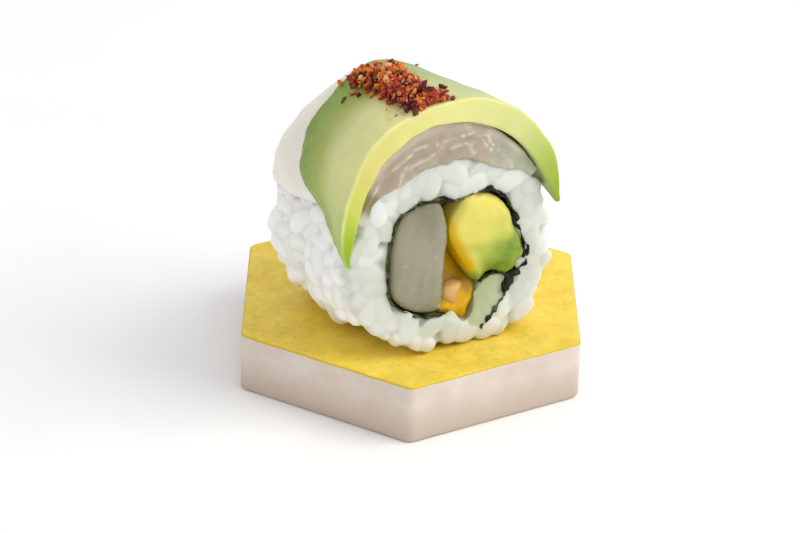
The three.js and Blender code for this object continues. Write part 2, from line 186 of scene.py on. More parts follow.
def piece(name, points, faces, material, masks=None, flat=False):
    """A mesh object from points in millimetres in the plate's frame, with its material and named masks."""
    mesh = bpy.data.meshes.new(name)
    mesh.from_pydata((np.asarray(points) * MM).tolist(), [], [list(map(int, face)) for face in faces])
    for label, values in (masks or {}).items():
        mesh.attributes.new(label, "FLOAT", "POINT").data.foreach_set("value", values.astype(np.float32))
    mesh.polygons.foreach_set("use_smooth", [not flat] * len(mesh.polygons))
    mesh.materials.append(material)
    made = bpy.data.objects.new(name, mesh)
    bpy.context.scene.collection.objects.link(made)
    return made


def plate_outline():
    """The hexagon with rounded corners, as points with even steps along its sides."""
    points = []
    middle = PLATE_SIDE - PLATE_CORNER / math.cos(math.pi / 6)
    for i in range(6):
        corner = middle * np.array([math.cos(math.pi * i / 3), math.sin(math.pi * i / 3)])
        for turn in np.radians(60 * i + np.linspace(-30, 30, 9)):
            points.append(corner + PLATE_CORNER * np.array([math.cos(turn), math.sin(turn)]))
        side = middle * np.array([-math.sin(turn), math.cos(turn)])
        points += [points[-1] + side * share for share in np.linspace(0, 1, 14)[1:-1]]
    return np.array(points)


def ring_faces(count, rings, closed=False):
    """Four-cornered faces between rings of count points, the last ring joined to the first if closed."""
    faces = []
    for k in range(rings if closed else rings - 1):
        m = (k + 1) % rings
        for i in range(count):
            j = (i + 1) % count
            faces.append((k * count + i, k * count + j, m * count + j, m * count + i))
    return faces


def plate_mesh():
    """Rings from the middle of the underside, up the side and back to the middle of the top."""
    outline = plate_outline()
    turns = np.radians(np.linspace(0, 90, 6))
    quarter = [(PLATE_EDGE * (1 - math.sin(turn)), PLATE_EDGE * (1 - math.cos(turn))) for turn in turns]
    rings = [(share, 0.0, 0.0) for share in (0.02, 0.5, 0.97)]
    rings += [(1, inset, up) for inset, up in quarter]
    rings += [(1, 0.0, up) for up in np.linspace(PLATE_EDGE, PLATE_THICK - PLATE_EDGE, 8)[1:-1]]
    rings += [(1, inset, PLATE_THICK - up) for inset, up in quarter[::-1]]
    rings += [(share, 0.0, PLATE_THICK) for share in (0.975, 0.9, 0.8, 0.65, 0.5, 0.35, 0.2, 0.02)]
    out = outline / np.linalg.norm(outline, axis=1)[:, None]
    points = []
    for share, inset, height in rings:
        ring = outline * share - out * (inset if share == 1 else PLATE_EDGE * share)
        points.append(np.column_stack([ring, np.full(len(ring), height)]))
    count = len(outline)
    faces = ring_faces(count, len(rings))
    faces.append(range(count - 1, -1, -1))
    faces.append(range((len(rings) - 1) * count, len(rings) * count))
    return np.concatenate(points), faces


mottled = mottle_group()
glazed, tree = finish("glazed stoneware", Specular_IOR_Level=0.3)
height = add(tree, "SeparateXYZ", {0: add(tree, "TexCoord").outputs["Object"]}).outputs["Z"]
waver = reckon(tree, "MULTIPLY", mottle(tree, 3.0, 0.5, 0.3), GLAZE_WAVER * MM)
edge_height = reckon(tree, "SUBTRACT", height, waver)
glaze_end = PLATE_THICK - GLAZE_DOWN
glaze_share = span(tree, edge_height, (glaze_end - GLAZE_FADE) * MM, glaze_end * MM)
line_share = span(tree, edge_height, (glaze_end + LINE_GONE) * MM, (glaze_end + LINE_FULL) * MM)
yellow = blend(tree, mottle(tree, 9.0, 0.5, 0.3), GLAZE, GLAZE_PALE)
yellow = stain_and_painted_light(tree, yellow, mottle(tree, 0.9, 0.34, 0.06), 0.45, GLAZE_SPECK)
yellow = blend(tree, line_share, yellow, GLAZE_LINE)
clay = blend(tree, mottle(tree, 5.0, 0.45, 0.25), CLAY, CLAY_DARK)
# Darker towards the table: painted shade at the foot of the side.
clay = blend(tree, span(tree, height, CLAY_DARKENS * MM, CLAY_DARKEST * MM), clay, CLAY_FOOT_SHADE)
drive(tree, "Base Color", blend(tree, glaze_share, clay, yellow))
drive(tree, "Roughness", span(tree, glaze_share, 0, 1, 0.6, 0.4))
pores(tree, 0.5, 0.02)

points, faces = plate_mesh()
plate = piece("plate_glazed", points, faces, glazed)
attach(plate, "root")
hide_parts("plate")

# The nori: one sheet of pressed dried seaweed, thin and crinkled and softened by the rice. It wraps the
# fillings once, ends at the lower right of the roll, and has a short tuck under the avocado.
ROLL_X = -3.0  # how far right of the plate's middle the roll's axis lies
AXIS_UP = 17.5  # and how far above the plate's top
FACE = 17.7  # where along the axis the rice's cut face lies, in front of the plate's middle
BACK = -8.3  # and its far end
FOOT = 2.2  # how far the foot of the roll stands out of the cut face
FOOT_FROM = 9  # between these depths below the axis
FOOT_TO = 16
NORI_THICK = 0.36
NORI_LEAST = 0.6  # the least it thins to, as a share of that
NORI_OUT = 0.45  # how far its edge stands out of the cut face
NORI_BEHIND = 0.2  # and out of the far end
CREASE_OUT = 0.4  # and how much more where it is creased
SHEET_LONG = 90  # about its length along the route, which spaces its crinkles
NORI_ROUTE = [
    (-2.0, -11.3), (-5.6, -11.2), (-9.6, -9.2), (-11.9, -6.4), (-12.3, -2.0), (-12.1, 3.0), (-11.0, 7.0),
    (-8.9, 9.1), (-6.2, 9.8), (-3.0, 9.8), (0.6, 9.1), (3.8, 9.7), (6.8, 9.6), (9.6, 7.6), (11.4, 4.6),
    (12.6, 1.0), (14.0, -2.0), (14.3, -4.8), (12.8, -7.9), (9.0, -11.8), (4.6, -14.9),
]
# Its thickness for shares of the way, as a multiple: it is creased and doubled over in places.
NORI_FOLDS = [
    (0, 1), (0.3, 0.8), (0.45, 0.9), (0.465, 2.6), (0.48, 2.4), (0.5, 0.8), (0.565, 0.8), (0.58, 3.4),
    (0.595, 2.2), (0.625, 2.0), (0.645, 0.9), (0.68, 0.9), (0.7, 4.0), (0.72, 4.0), (0.735, 1.0),
    (0.76, 1.2), (0.78, 3.0), (0.85, 3.6), (0.875, 8.0), (0.89, 6.0), (0.905, 1.2), (0.94, 0.9),
    (0.965, 1.4), (0.98, 2.8), (1, 0.9),
]
NORI_LEAN = [(0.84, 0), (0.87, 1.1), (0.89, 0.8), (0.91, 0)]  # how far the thick fold leans inwards
TUCK_ROUTE = [(5.4, -7.3), (7.0, -6.5), (9.2, -6.5), (11.2, -7.6), (13.2, -7.4)]

NORI = "#0b0f09"
NORI_THIN = "#5c6420"


def smooth_step(value, low, high):
    """0 below low, 1 above high, smooth between."""
    share = np.clip((value - low) / (high - low), 0, 1)
    return share * share * (3 - 2 * share)


def curve(pairs, turn=None):
    """A smooth function through pairs of place and value, level beyond its ends or repeated each turn."""
    x, y = np.array(pairs, float).T
    if turn:
        x = np.concatenate([x - turn, x, x + turn])
        y = np.tile(y, 3)
    slope = np.gradient(y, x)

    def at(place):
        place = np.clip(place, x[0], x[-1])
        i = np.clip(np.searchsorted(x, place) - 1, 0, len(x) - 2)
        step = x[i + 1] - x[i]
        t = (place - x[i]) / step
        rise = y[i + 1] - y[i]
        bow = 3 * rise - (2 * slope[i] + slope[i + 1]) * step
        bend = (slope[i] + slope[i + 1]) * step - 2 * rise
        return y[i] + slope[i] * step * t + bow * t**2 + bend * t**3

    return at


def smooth_line(points, count, closed=False):
    """A smooth line through a few points, as count points an even way apart."""
    points = np.array(points, float)
    if closed:
        points = np.concatenate([points[-3:], points, points[:4]])
    way = np.concatenate([[0], np.cumsum(np.linalg.norm(np.diff(points, axis=0), axis=1) ** 0.5)])
    start, end = (way[3], way[-4]) if closed else (way[0], way[-1])
    fine = np.linspace(start, end, 40 * len(points))
    line = np.column_stack([curve(np.column_stack([way, side]))(fine) for side in points.T])
    length = np.concatenate([[0], np.cumsum(np.linalg.norm(np.diff(line, axis=0), axis=1))])
    even = np.linspace(0, length[-1], count + closed)[: count]
    return np.column_stack([np.interp(even, length, side) for side in line.T])


def lumps(points, size, seed):
    """Smooth random relief, mostly between -1 and 1, with lumps about size millimetres across."""
    points = np.asarray(points, float)
    random = np.random.default_rng(seed)
    way = random.normal(size=(points.shape[-1], 16))
    way *= math.pi / size * random.uniform(0.6, 1.4, 16) / np.linalg.norm(way, axis=0)
    return np.sin(points @ way + random.uniform(0, 2 * math.pi, 16)).sum(-1) / math.sqrt(16)


def box_grid(along, through, across):
    """The surface of a unit box as points and four-cornered faces, with that many steps on its sides."""
    steps = (along, through, across)
    sides = []
    for axis, (a, b) in enumerate(((1, 2), (2, 0), (0, 1))):
        i, j = (c.ravel() for c in np.meshgrid(np.arange(steps[a]), np.arange(steps[b]), indexing="ij"))
        for end in (0, 1):
            quad = np.zeros((i.size, 4, 3), int)
            quad[:, :, axis] = end * steps[axis]
            turns = ((0, 0), (1, 0), (1, 1), (0, 1)) if end else ((0, 0), (0, 1), (1, 1), (1, 0))
            for corner, (da, db) in enumerate(turns):
                quad[:, corner, a] = i + da
                quad[:, corner, b] = j + db
            sides.append(quad)
    corners = np.concatenate(sides).reshape(-1, 3)
    grid, index = np.unique(corners, axis=0, return_inverse=True)
    return grid / np.array(steps), index.reshape(-1, 4)


def on_plate(points):
    """From the roll's own frame, x right, y up and z out of the cut face, to the plate's."""
    x, y, z = np.asarray(points).T
    return np.column_stack([ROLL_X + x, -z, PLATE_THICK + AXIS_UP + y])


def face_at(y):
    """Where the cut face lies, with the foot of the roll standing out."""
    return FACE + FOOT * smooth_step(-y, FOOT_FROM, FOOT_TO)


def nori_sheet(route, thickness, lean, grid, seed):
    """A crinkled sheet along a route, its thickness and lean given by the share of the way."""
    u, v, w = grid.T
    line = smooth_line(route, 400)
    share = np.linspace(0, 1, 400)
    ahead = np.gradient(line, axis=0)
    ahead /= np.linalg.norm(ahead, axis=1)[:, None]
    middle = np.column_stack([np.interp(u, share, side) for side in line.T])
    across = np.column_stack([np.interp(u, share, -ahead[:, 1]), np.interp(u, share, ahead[:, 0])])
    place = np.column_stack([u * SHEET_LONG, w * (FACE - BACK)])
    crinkle = 0.1 * lumps(place, 1.6, seed) + 0.05 * lumps(place, 0.6, seed + 1)
    ragged = 0.25 * lumps(np.column_stack([u * SHEET_LONG, v * 2]), 1.1, seed + 2) * (w > 0.5)
    thick = thickness(u) * (1 + 0.25 * lumps(place, 1.3, seed + 3)) * (1 - 0.45 * (w == 1))
    flat = middle + across * ((v - 0.5) * thick + crinkle - lean(u))[:, None]
    front = face_at(middle[:, 1]) + NORI_OUT + CREASE_OUT * smooth_step(thick, 0.6, 1.2)
    start = BACK - NORI_BEHIND
    return np.column_stack([flat, start + w * (front - start) + ragged])


def sheen(tree, size, low, high):
    """Roughness going from low to high in patches size millimetres across."""
    drive(tree, "Roughness", span(tree, mottle(tree, size), 0, 1, low, high))


def mask(tree, name):
    """One of the piece's own masks, as its material reads it."""
    return add(tree, "Attribute", attribute_name=name).outputs["Fac"]


folds = curve(NORI_FOLDS)
nori_line = smooth_line(NORI_ROUTE, 90)
tuck_line = smooth_line(TUCK_ROUTE, 16)
sheet_grid, sheet_faces = box_grid(320, 4, 44)
tuck_grid, tuck_faces = box_grid(50, 3, 44)
sheet = nori_sheet(
    NORI_ROUTE, lambda u: NORI_THICK * np.maximum(folds(u), NORI_LEAST), curve(NORI_LEAN), sheet_grid, 3
)
tuck = nori_sheet(TUCK_ROUTE, lambda u: np.full_like(u, NORI_THICK), np.zeros_like, tuck_grid, 8)
thin = np.concatenate([1 - smooth_step(folds(sheet_grid[:, 0]), 1.0, 1.5), np.ones(len(tuck))])

seaweed, tree = finish("seaweed", Specular_IOR_Level=0.3)
body = stain_and_painted_light(tree, NORI, mask(tree, "thin"), mottle(tree, 1.5, 0.5, 0.1), NORI_THIN)
drive(tree, "Base Color", body)
sheen(tree, 1.0, 0.4, 0.65)
pores(tree, 0.3, 0.05)

points = on_plate(np.concatenate([sheet, tuck]))
faces = np.concatenate([sheet_faces, tuck_faces + len(sheet)])
nori = piece("nori_sheet", points, faces, seaweed, {"thin": thin})
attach(nori, "root")
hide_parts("nori")

# The three fillings, bars cut lengthwise and laid side by side on the nori: raw white fish on the left, ripe
# avocado on the right and between them a thin slice of mango whose cut end lies back in its own hollow.
FISH_BAR = [
    (-3.0, 9.1), (-1.6, 5.5), (-1.1, 2.1), (-1.3, -1.5), (-1.6, -5.2), (-1.8, -8.5), (-2.1, -10.7),
    (-5.2, -10.8), (-9.0, -9.0), (-11.3, -6.5), (-11.9, -2.8), (-11.8, 2.8), (-10.7, 7.0), (-8.7, 8.8),
    (-6.2, 9.4),
]
MANGO_BAR = [
    (-2.6, -11.0), (-0.6, -12.3), (1.2, -13.4), (2.9, -13.8), (5.7, -8.0), (4.6, -6.6), (2.6, -3.9),
    (0.4, 0.2), (-0.2, 4.2), (1.2, 7.2), (1.2, 9.2), (-3.4, 9.8), (-2.2, 4.0), (-2.0, -4.0),
]
AVOCADO_BAR = [
    (1.7, 8.9), (2.8, 9.3), (5.3, 9.2), (8.2, 7.8), (9.9, 6.0), (10.9, 4.4), (11.6, 2.2), (13.3, -1.1),
    (13.8, -3.5), (12.8, -5.8), (10.6, -7.0), (8.0, -6.0), (6.1, -6.4), (3.9, -6.5), (2.6, -4.2),
    (0.9, -1.0), (-0.7, 2.2), (-1.0, 4.4), (0.3, 7.0),
]
MANGO_DIP = [(-13.7, 0.6), (-9.5, 1.2), (-6, 3.2), (9.5, 3.4)]  # how far back its cut end lies, by height

FISH_FLESH = "#97947f"
# Painted shade, for where the bar meets its neighbours.
FISH_SHADE = "#757150"
FISH_STREAK = "#c4c1b0"
MANGO = "#e6b404"
# Its deeper orange is both its own tone in patches and, with the dark one, painted shade where its cut end
# lies back in its hollow.
MANGO_DEEP_AND_SHADE = "#a57c18"
MANGO_SHADE = "#553e0c"
AVOCADO_YELLOW = "#e4d768"
AVOCADO_PALE = "#c0c455"
AVOCADO_GREEN = "#6f8f1f"
AVOCADO_GOLD = "#e2ba06"
AVOCADO_EDGE = [(-1.6, 4.8), (-0.8, 2.2), (0.9, -1.0), (2.4, -3.8)]  # its golden side, next to the mango
BAR_BEHIND = 0.4  # how far the bars stand out of the rice's far end
BAR_ROUND = 2.5  # how far in from its rim and its face a bar's cut end is rounded
BAR_SKIN = 0.3  # the size of the bars' mesh faces


def off_line(points, line, closed=False):
    """How far points of the cut face lie from a line of straight steps, and the way from it."""
    line = np.asarray(line)
    start = line if closed else line[:-1]
    step = np.roll(line, -1, axis=0) - line if closed else np.diff(line, axis=0)
    away = points[:, None, :2] - start
    share = np.clip((away * step).sum(2) / (step**2).sum(1), 0, 1)
    away = away - share[..., None] * step
    length = np.linalg.norm(away, axis=2)
    nearest = length.argmin(1)
    rows = np.arange(len(points))
    return length[rows, nearest], away[rows, nearest]


def inside(points, ring):
    """Which points of the cut face lie inside a ring."""
    x, y = points[:, 0, None], points[:, 1, None]
    ax, ay = ring.T
    bx, by = np.roll(ring, -1, axis=0).T
    crossing = ((ay > y) != (by > y)) & (x < (bx - ax) * (y - ay) / (by - ay + 1e-12) + ax)
    return crossing.sum(1) % 2 == 1


def grown_skin(points, faces, voxel):
    """One closed skin of even small faces round everything that is given."""
    mesh = bpy.data.meshes.new("raw")
    mesh.from_pydata(np.asarray(points).tolist(), [], [list(map(int, face)) for face in faces])
    raw = bpy.data.objects.new("raw", mesh)
    bpy.context.scene.collection.objects.link(raw)
    remesh = raw.modifiers.new("skin", "REMESH")
    remesh.mode = "VOXEL"
    remesh.voxel_size = voxel
    skin = raw.evaluated_get(bpy.context.evaluated_depsgraph_get()).to_mesh()
    found = np.zeros(len(skin.vertices) * 3)
    skin.vertices.foreach_get("co", found)
    corners = np.zeros(len(skin.polygons) * 4, int)
    skin.polygons.foreach_get("vertices", corners)
    bpy.data.objects.remove(raw)
    bpy.data.meshes.remove(mesh)
    return found.reshape(-1, 3), corners.reshape(-1, 4)


def eased(points, faces, rounds, share=0.5):
    """Points drawn towards the mean of their neighbours, round after round."""
    here, there = faces.T.ravel(), np.roll(faces, -1, axis=1).T.ravel()
    count = np.bincount(here, minlength=len(points))[:, None]
    for _ in range(rounds):
        total = [np.bincount(here, side, len(points)) for side in points[there].T]
        points = points + share * (np.column_stack(total) / count - points)
    return points


def filling_bar(ring, front, swell, round_over, dip=np.zeros_like):
    """A bar along the roll with a full, softly rounded cut end: points, faces and way in from its rim."""
    count = len(ring)
    prism = [np.column_stack([ring, np.full(count, z)]) for z in (BACK - BAR_BEHIND, front)]
    faces = [(i, (i + 1) % count, count + (i + 1) % count, count + i) for i in range(count)]
    faces += [range(count - 1, -1, -1), range(count, 2 * count)]
    points, faces = grown_skin(np.concatenate(prism), faces, BAR_SKIN)
    points = eased(points, faces, 3)
    rim = off_line(points, ring, closed=True)[0]
    near = smooth_step(points[:, 2], front - BAR_ROUND, front - BAR_SKIN)
    bow = swell * smooth_step(rim, 0, BAR_ROUND) - round_over * (1 - smooth_step(rim, -BAR_SKIN, 1.2))
    points[:, 2] += near * (bow - dip(points[:, 1]))
    return points, faces, rim * near


def moist(name, weight, depth, tint, ior):
    """The finish of moist food, which light enters to a depth in millimetres and leaves in a tint."""
    light = {"Subsurface_Weight": weight, "Subsurface_Scale": depth * MM, "Subsurface_Radius": tint}
    return finish(name, IOR=ior, **light)


fish_ring = smooth_line(FISH_BAR, 110, closed=True)
mango_ring = smooth_line(MANGO_BAR, 110, closed=True)
avocado_ring = smooth_line(AVOCADO_BAR, 120, closed=True)

flesh, tree = moist("raw white fish", 0.7, 1.6, (1.0, 0.9, 0.7), 1.38)
body = blend(tree, mask(tree, "fish_shade"), FISH_FLESH, FISH_SHADE)
body = stain_and_painted_light(tree, body, mottle(tree, 4.0, 0.45, 0.3), 0.2, FISH_STREAK)
drive(tree, "Base Color", blend(tree, mask(tree, "streak"), body, FISH_STREAK))
sheen(tree, 1.8, 0.16, 0.32)
pores(tree, 1.2, 0.02)

points, faces, rim = filling_bar(fish_ring, FACE + 0.5, swell=0.25, round_over=0.2)
near = smooth_step(points[:, 2], FACE - 2, FACE)
grain_way = points[:, :2] @ np.array([[0.9, 0.2], [-0.2, 0.25]])
points[:, 2] += near * (0.14 * lumps(points[:, :2], 4.5, 21) + 0.03 * lumps(grain_way, 1.2, 22))
fleck = smooth_step(lumps(points[:, :2], 0.9, 24), 1.7, 2.1) * near
streak = np.maximum(smooth_step(lumps(grain_way, 1.9, 23), 1.0, 1.9) * 0.3, fleck * 0.8)
# Darker olive at the bar's top and bottom and round the rim of its cut end: painted shade where it meets its
# neighbours.
fish_shade = smooth_step(points[:, 1], 2, 9) * 0.6 + smooth_step(-points[:, 1], 7, 11) * 0.5
fish_shade = np.maximum(fish_shade, 0.8 * (1 - smooth_step(rim, 0.2, 1.0)) * near)
fish = piece("fish_bar", on_plate(points), faces, flesh, {"streak": streak, "fish_shade": fish_shade})
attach(fish, "root")
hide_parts("fish_filling")

ripe_mango, tree = moist("ripe mango", 0.5, 1.0, (1.0, 0.6, 0.15), 1.4)
body = ramp(tree, mask(tree, "deep"), [(0, MANGO), (0.55, MANGO_DEEP_AND_SHADE), (1, MANGO_SHADE)])
drive(tree, "Base Color", stain_and_painted_light(tree, body, mottle(tree, 1.2), 0.25, MANGO_DEEP_AND_SHADE))
sheen(tree, 1.0, 0.2, 0.4)
pores(tree, 0.6, 0.05)

points, faces, _ = filling_bar(mango_ring, FACE + 0.6, swell=0.1, round_over=0.3, dip=curve(MANGO_DIP))
points[:, 2] += smooth_step(points[:, 2], FACE - 5, FACE - 2) * 0.15 * lumps(points[:, :2], 1.6, 31)
# Darker the further its cut end lies back in its hollow: painted shade of the recess.
deep = 0.25 * smooth_step(points[:, 1], -9.5, -6.5) + 0.75 * smooth_step(points[:, 1], 0, 3)
deep += 0.2 * smooth_step(points[:, 0] + 0.35 * points[:, 1], -1.0, 1.5) * (points[:, 1] < 0)
mango = piece("mango_bar", on_plate(points), faces, ripe_mango, {"deep": deep})
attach(mango, "root")
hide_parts("mango_filling")

ripe_avocado, tree = moist("ripe avocado", 0.5, 1.0, (0.9, 1.0, 0.3), 1.4)
body = ramp(tree, mask(tree, "green"), [(0, AVOCADO_YELLOW), (0.5, AVOCADO_PALE), (1, AVOCADO_GREEN)])
body = stain_and_painted_light(tree, body, mottle(tree, 1.4, 0.45, 0.2), 0.3, AVOCADO_PALE)
drive(tree, "Base Color", blend(tree, mask(tree, "golden"), body, AVOCADO_GOLD))
sheen(tree, 1.4, 0.28, 0.5)
pores(tree, 0.5, 0.05)

points, faces, _ = filling_bar(avocado_ring, FACE + 0.9, swell=0.4, round_over=0.8)
near = smooth_step(points[:, 2], FACE - 2, FACE)
low = smooth_step(-points[:, 1], -3, 5)
points[:, 2] += near * (0.15 * lumps(points[:, :2], 3.5, 41) + 0.42 * low * lumps(points[:, :2], 1.9, 42))
outward = 0.5 * points[:, 0] - 0.75 * points[:, 1] + 0.8 * lumps(points[:, :2], 2.5, 43)
green = smooth_step(outward, -0.8, 7.5)
golden = 1 - smooth_step(off_line(points, AVOCADO_EDGE)[0], 0.5, 2.3)
avocado = piece("avocado_bar", on_plate(points), faces, ripe_avocado, {"green": green, "golden": golden})
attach(avocado, "root")
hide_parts("avocado_filling")

# The rice: plump, sticky, steamed short grains pressed round the nori into a short barrel, which a knife cut
# across at both ends. The grains stand out all over it, push each other aside and stick together where they
# meet, and on the cut ends the knife pressed them flat.

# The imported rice's radius by angle, in degrees round the axis from the right.
RICE = [
    (-172, 18.7), (-156, 18.0), (-136, 16.8), (-117, 16.5), (-90, 17.2), (-65, 18.6), (-46, 20.1),
    (-30, 20.0), (-13, 19.2), (0, 18.8), (15, 18.3), (33, 17.3), (42, 16.9), (50, 15.7), (58, 15.2),
    (68, 15.2), (80, 15.9), (90, 16.4), (97, 15.7), (104, 15.9), (113, 16.5), (124, 16.9), (131, 17.7),
    (138, 18.6), (150, 18.4), (165, 18.4),
]
SWELL = 3.3  # how far it spreads at the lower left, behind the cut face
SWELL_AT = -138  # the middle of that spread, in degrees
SWELL_WIDE = 27
SHOULDER = 1.2  # radius of its rims
GRAIN_COUNT = 460
GRAIN_APART = 2.55  # the least distance between two grains' middles before they settle
GRAIN_LONG = 6.3
GRAIN_WIDE = 3.5
CLOSE = 0.6  # how near two grains come, as a share of their width
GRAIN_DEPTH = (-1.1, 0.2)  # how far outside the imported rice's surface their middles lie
SETTLE_ROUNDS = 80
SLACK = 0.4  # how far a grain's ends may lie off its depth
# The share of each miss that a round of settling takes up: off other grains, off the depth, off the nori
# and out of the hole for the fillings.
APART = 0.22
LEVEL = 0.35
OFF_NORI = 0.6
OFF_HOLE = 0.4
GRAIN_RINGS = 9
GRAIN_SIDES = 12
GRAIN_BEND = 0.16
GRAIN_TAPER = 0.16
GRAIN_UNEVEN = 0.06
GRAIN_FLAT = 0.9
RICE_SKIN = 0.36  # the size of the rice's mesh faces
CORE_IN = 0.9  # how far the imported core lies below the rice's round side
CORE_ENDS = 0.8  # and below its ends
CORE_CLEAR = 0.15  # how far it keeps off the hole for the fillings
CORE_WALL = 0.4  # its least thickness
CORE_UP = 0.35  # and how far it keeps off the plate
PRESSED = 0.22  # what the knife leaves of a grain's relief on the cut ends
SEAM_DEEP = 0.05  # the groove where two grains meet
SEAM_WIDE = 0.34
RIM_LEVEL = 0.1  # grains round the fillings rise up to here past the cut face
RIM_IN = 0.45  # and lean in over them
HIDDEN = (40, 155)  # no grains between these angles, where the slice of fish covers the side
HOLE = NORI_ROUTE[1:18] + [
    (12.4, -7.3), (9.4, -6.3), (7.0, -6.4), (5.6, -7.4), (4.6, -10.2), (2.9, -13.4), (-0.9, -12.2),
]
POCKET = [(4.5, -5.5), (13, -5.5), (13, -8.5), (5, -15), (2.5, -13.7)]  # inside the nori's outer end

GRAIN = "#fcfcfa"
# Also the painted shade on the cut ends, besides some grains' own clearer tone.
GRAIN_CLEAR_AND_SHADE = "#cfd3cb"
# How strongly and with what colour each mask tints them: green next to the green fillings, painted shade in
# the seams between grains and in the gaps below them, and at the foot a painted reflection of the yellow
# glaze it rests on, with painted shade.
GRAIN_TINT_AND_SHADE = {
    "tint": (1.0, "#afbb94"), "seam": (0.2, "#bcbda9"), "gap": (0.5, "#9f987c"), "foot": (0.4, "#cbbf9c"),
}

rice_outline = curve(RICE, turn=360)
hole_ring = smooth_line(HOLE, 120, closed=True)


def rice_radius(angle, z):
    """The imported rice's radius, which spreads over the plate at the lower left."""
    off = (angle - SWELL_AT + 540) % 360 - 180
    behind = 0.5 + 0.5 * smooth_step(FACE - z, 0, (FACE - BACK) / 2)
    return rice_outline(angle) + SWELL * behind * np.exp(-((off / SWELL_WIDE) ** 2))


def angle_of(points):
    """The angle of points round the axis, in degrees from the right."""
    return np.degrees(np.arctan2(points[..., 1], points[..., 0]))


def off_rice(points):
    """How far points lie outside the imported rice, and the way out."""
    flat = np.hypot(points[..., 0], points[..., 1]) + 1e-6
    beside = flat - rice_radius(angle_of(points), points[..., 2])
    ahead = points[..., 2] - face_at(points[..., 1])
    behind = BACK - points[..., 2]
    front = ahead > behind
    a = beside + SHOULDER
    b = np.where(front, ahead, behind) + SHOULDER
    corner = np.hypot(np.maximum(a, 0), np.maximum(b, 0))
    away = np.minimum(np.maximum(a, b), 0) + corner - SHOULDER
    side_share = np.where(corner > 0, np.maximum(a, 0) / (corner + 1e-9), a > b)
    end_share = np.where(corner > 0, np.maximum(b, 0) / (corner + 1e-9), a <= b)
    out = np.stack([
        side_share * points[..., 0] / flat,
        side_share * points[..., 1] / flat,
        end_share * np.where(front, 1, -1),
    ], axis=-1)
    return away, out


def scatter(random, count, depth, spacing):
    """Grains' middles over the outside of the rice at a depth, at least a spacing apart."""
    found = np.zeros((0, 3))
    for _ in range(40):
        tries = random.uniform((-24, -18, BACK - 1), (24, 20, FACE + 3), size=(1500, 3))
        for _ in range(6):
            away, out = off_rice(tries)
            tries = tries - out * (away - depth)[:, None]
        angle = angle_of(tries)
        beside = np.abs(off_rice(tries)[1][:, 2]) < 0.75
        covered = beside & (angle > HIDDEN[0]) & (angle < HIDDEN[1])
        in_hole = inside(tries, hole_ring) | (off_line(tries, hole_ring, closed=True)[0] < 1.0)
        for spot in tries[~covered & ~in_hole & (tries[:, 1] > 1.2 - AXIS_UP)]:
            if len(found) == 0 or np.linalg.norm(found - spot, axis=1).min() > spacing:
                found = np.vstack([found, spot])
    return found[:count]


def settle(middles, along, reach, depth):
    """Lets grains push each other aside on the outside of the rice, clear of nori, plate and fillings."""
    count = len(middles)
    owner = np.tile(np.arange(count), 3)
    near_most = GRAIN_WIDE * CLOSE
    slack = SLACK * np.repeat([1, 0, 1], count)
    for _ in range(SETTLE_ROUNDS):
        balls = np.concatenate([middles - along * reach, middles, middles + along * reach])
        gap = balls[:, None] - balls[None]
        length = np.linalg.norm(gap, axis=2) + 1e-6
        near = (length < near_most) & (owner[:, None] != owner[None])
        push = APART * (gap * np.where(near, (near_most - length) / length, 0)[..., None]).sum(1)
        away, out = off_rice(balls)
        miss = away - np.tile(depth, 3)
        push -= LEVEL * out * (np.sign(miss) * np.maximum(np.abs(miss) - slack, 0))[:, None]
        for line in (nori_line, tuck_line):
            off, way = off_line(balls, line)
            share = np.maximum(near_most / 2 + 0.1 - off, 0) / (off + 1e-6)
            push[:, :2] += way * share[:, None] * OFF_NORI
        hits = inside(balls, hole_ring)
        off, way = off_line(balls, hole_ring, closed=True)
        push[:, :2] -= way * np.where(hits, (off + 1.1) / (off + 1e-6), 0)[:, None] * OFF_HOLE
        push[:, 1] += np.maximum(near_most / 2 + 0.05 - AXIS_UP - balls[:, 1], 0)
        parts = (balls + push).reshape(3, count, 3)
        middles = parts.mean(0)
        along = parts[2] - parts[0]
        along /= np.linalg.norm(along, axis=1)[:, None]
    return middles, along


def grain_meshes(middles, along, reach, width, random):
    """Plump grains, a little bent and uneven, as one set of points and faces."""
    place = np.cos(np.linspace(0, math.pi, GRAIN_RINGS + 2))[1:-1]
    turn = np.linspace(0, 2 * math.pi, GRAIN_SIDES, endpoint=False)
    a, t = (side.ravel() for side in np.meshgrid(place, turn, indexing="ij"))
    a = np.concatenate([a, [1, -1]])
    t = np.concatenate([t, [0, 0]])
    wide = (1 - np.abs(a) ** 2.5) ** 0.5
    wide[-2:] = 0
    count = len(middles)
    out = off_rice(middles)[1]
    side = np.cross(along, out)
    side /= np.linalg.norm(side, axis=1)[:, None]
    up = np.cross(side, along)
    half = reach + width / 2
    bend = random.normal(0, GRAIN_BEND, (count, 1)) * (a**2 - 0.3)
    taper = 1 + random.uniform(-GRAIN_TAPER, GRAIN_TAPER, (count, 1)) * a
    uneven = 1 + GRAIN_UNEVEN * np.sin(3 * t + random.uniform(0, 6, (count, 1)) + 2.5 * a)
    radius = wide * taper * uneven * (width / 2)[:, None]
    sideways = radius * np.cos(t) + bend * width[:, None]
    upwards = GRAIN_FLAT * radius * np.sin(t)
    points = (
        middles[:, None]
        + along[:, None] * (a * half[:, None])[..., None]
        + side[:, None] * sideways[..., None]
        + up[:, None] * upwards[..., None]
    )
    faces = ring_faces(GRAIN_SIDES, GRAIN_RINGS)
    last = GRAIN_RINGS * GRAIN_SIDES
    for i in range(GRAIN_SIDES):
        j = (i + 1) % GRAIN_SIDES
        faces.append((last, j, i))
        faces.append((last + 1, last - GRAIN_SIDES + i, last - GRAIN_SIDES + j))
    every = [[index + k * (last + 2) for index in face] for k in range(count) for face in faces]
    return points.reshape(-1, 3), every


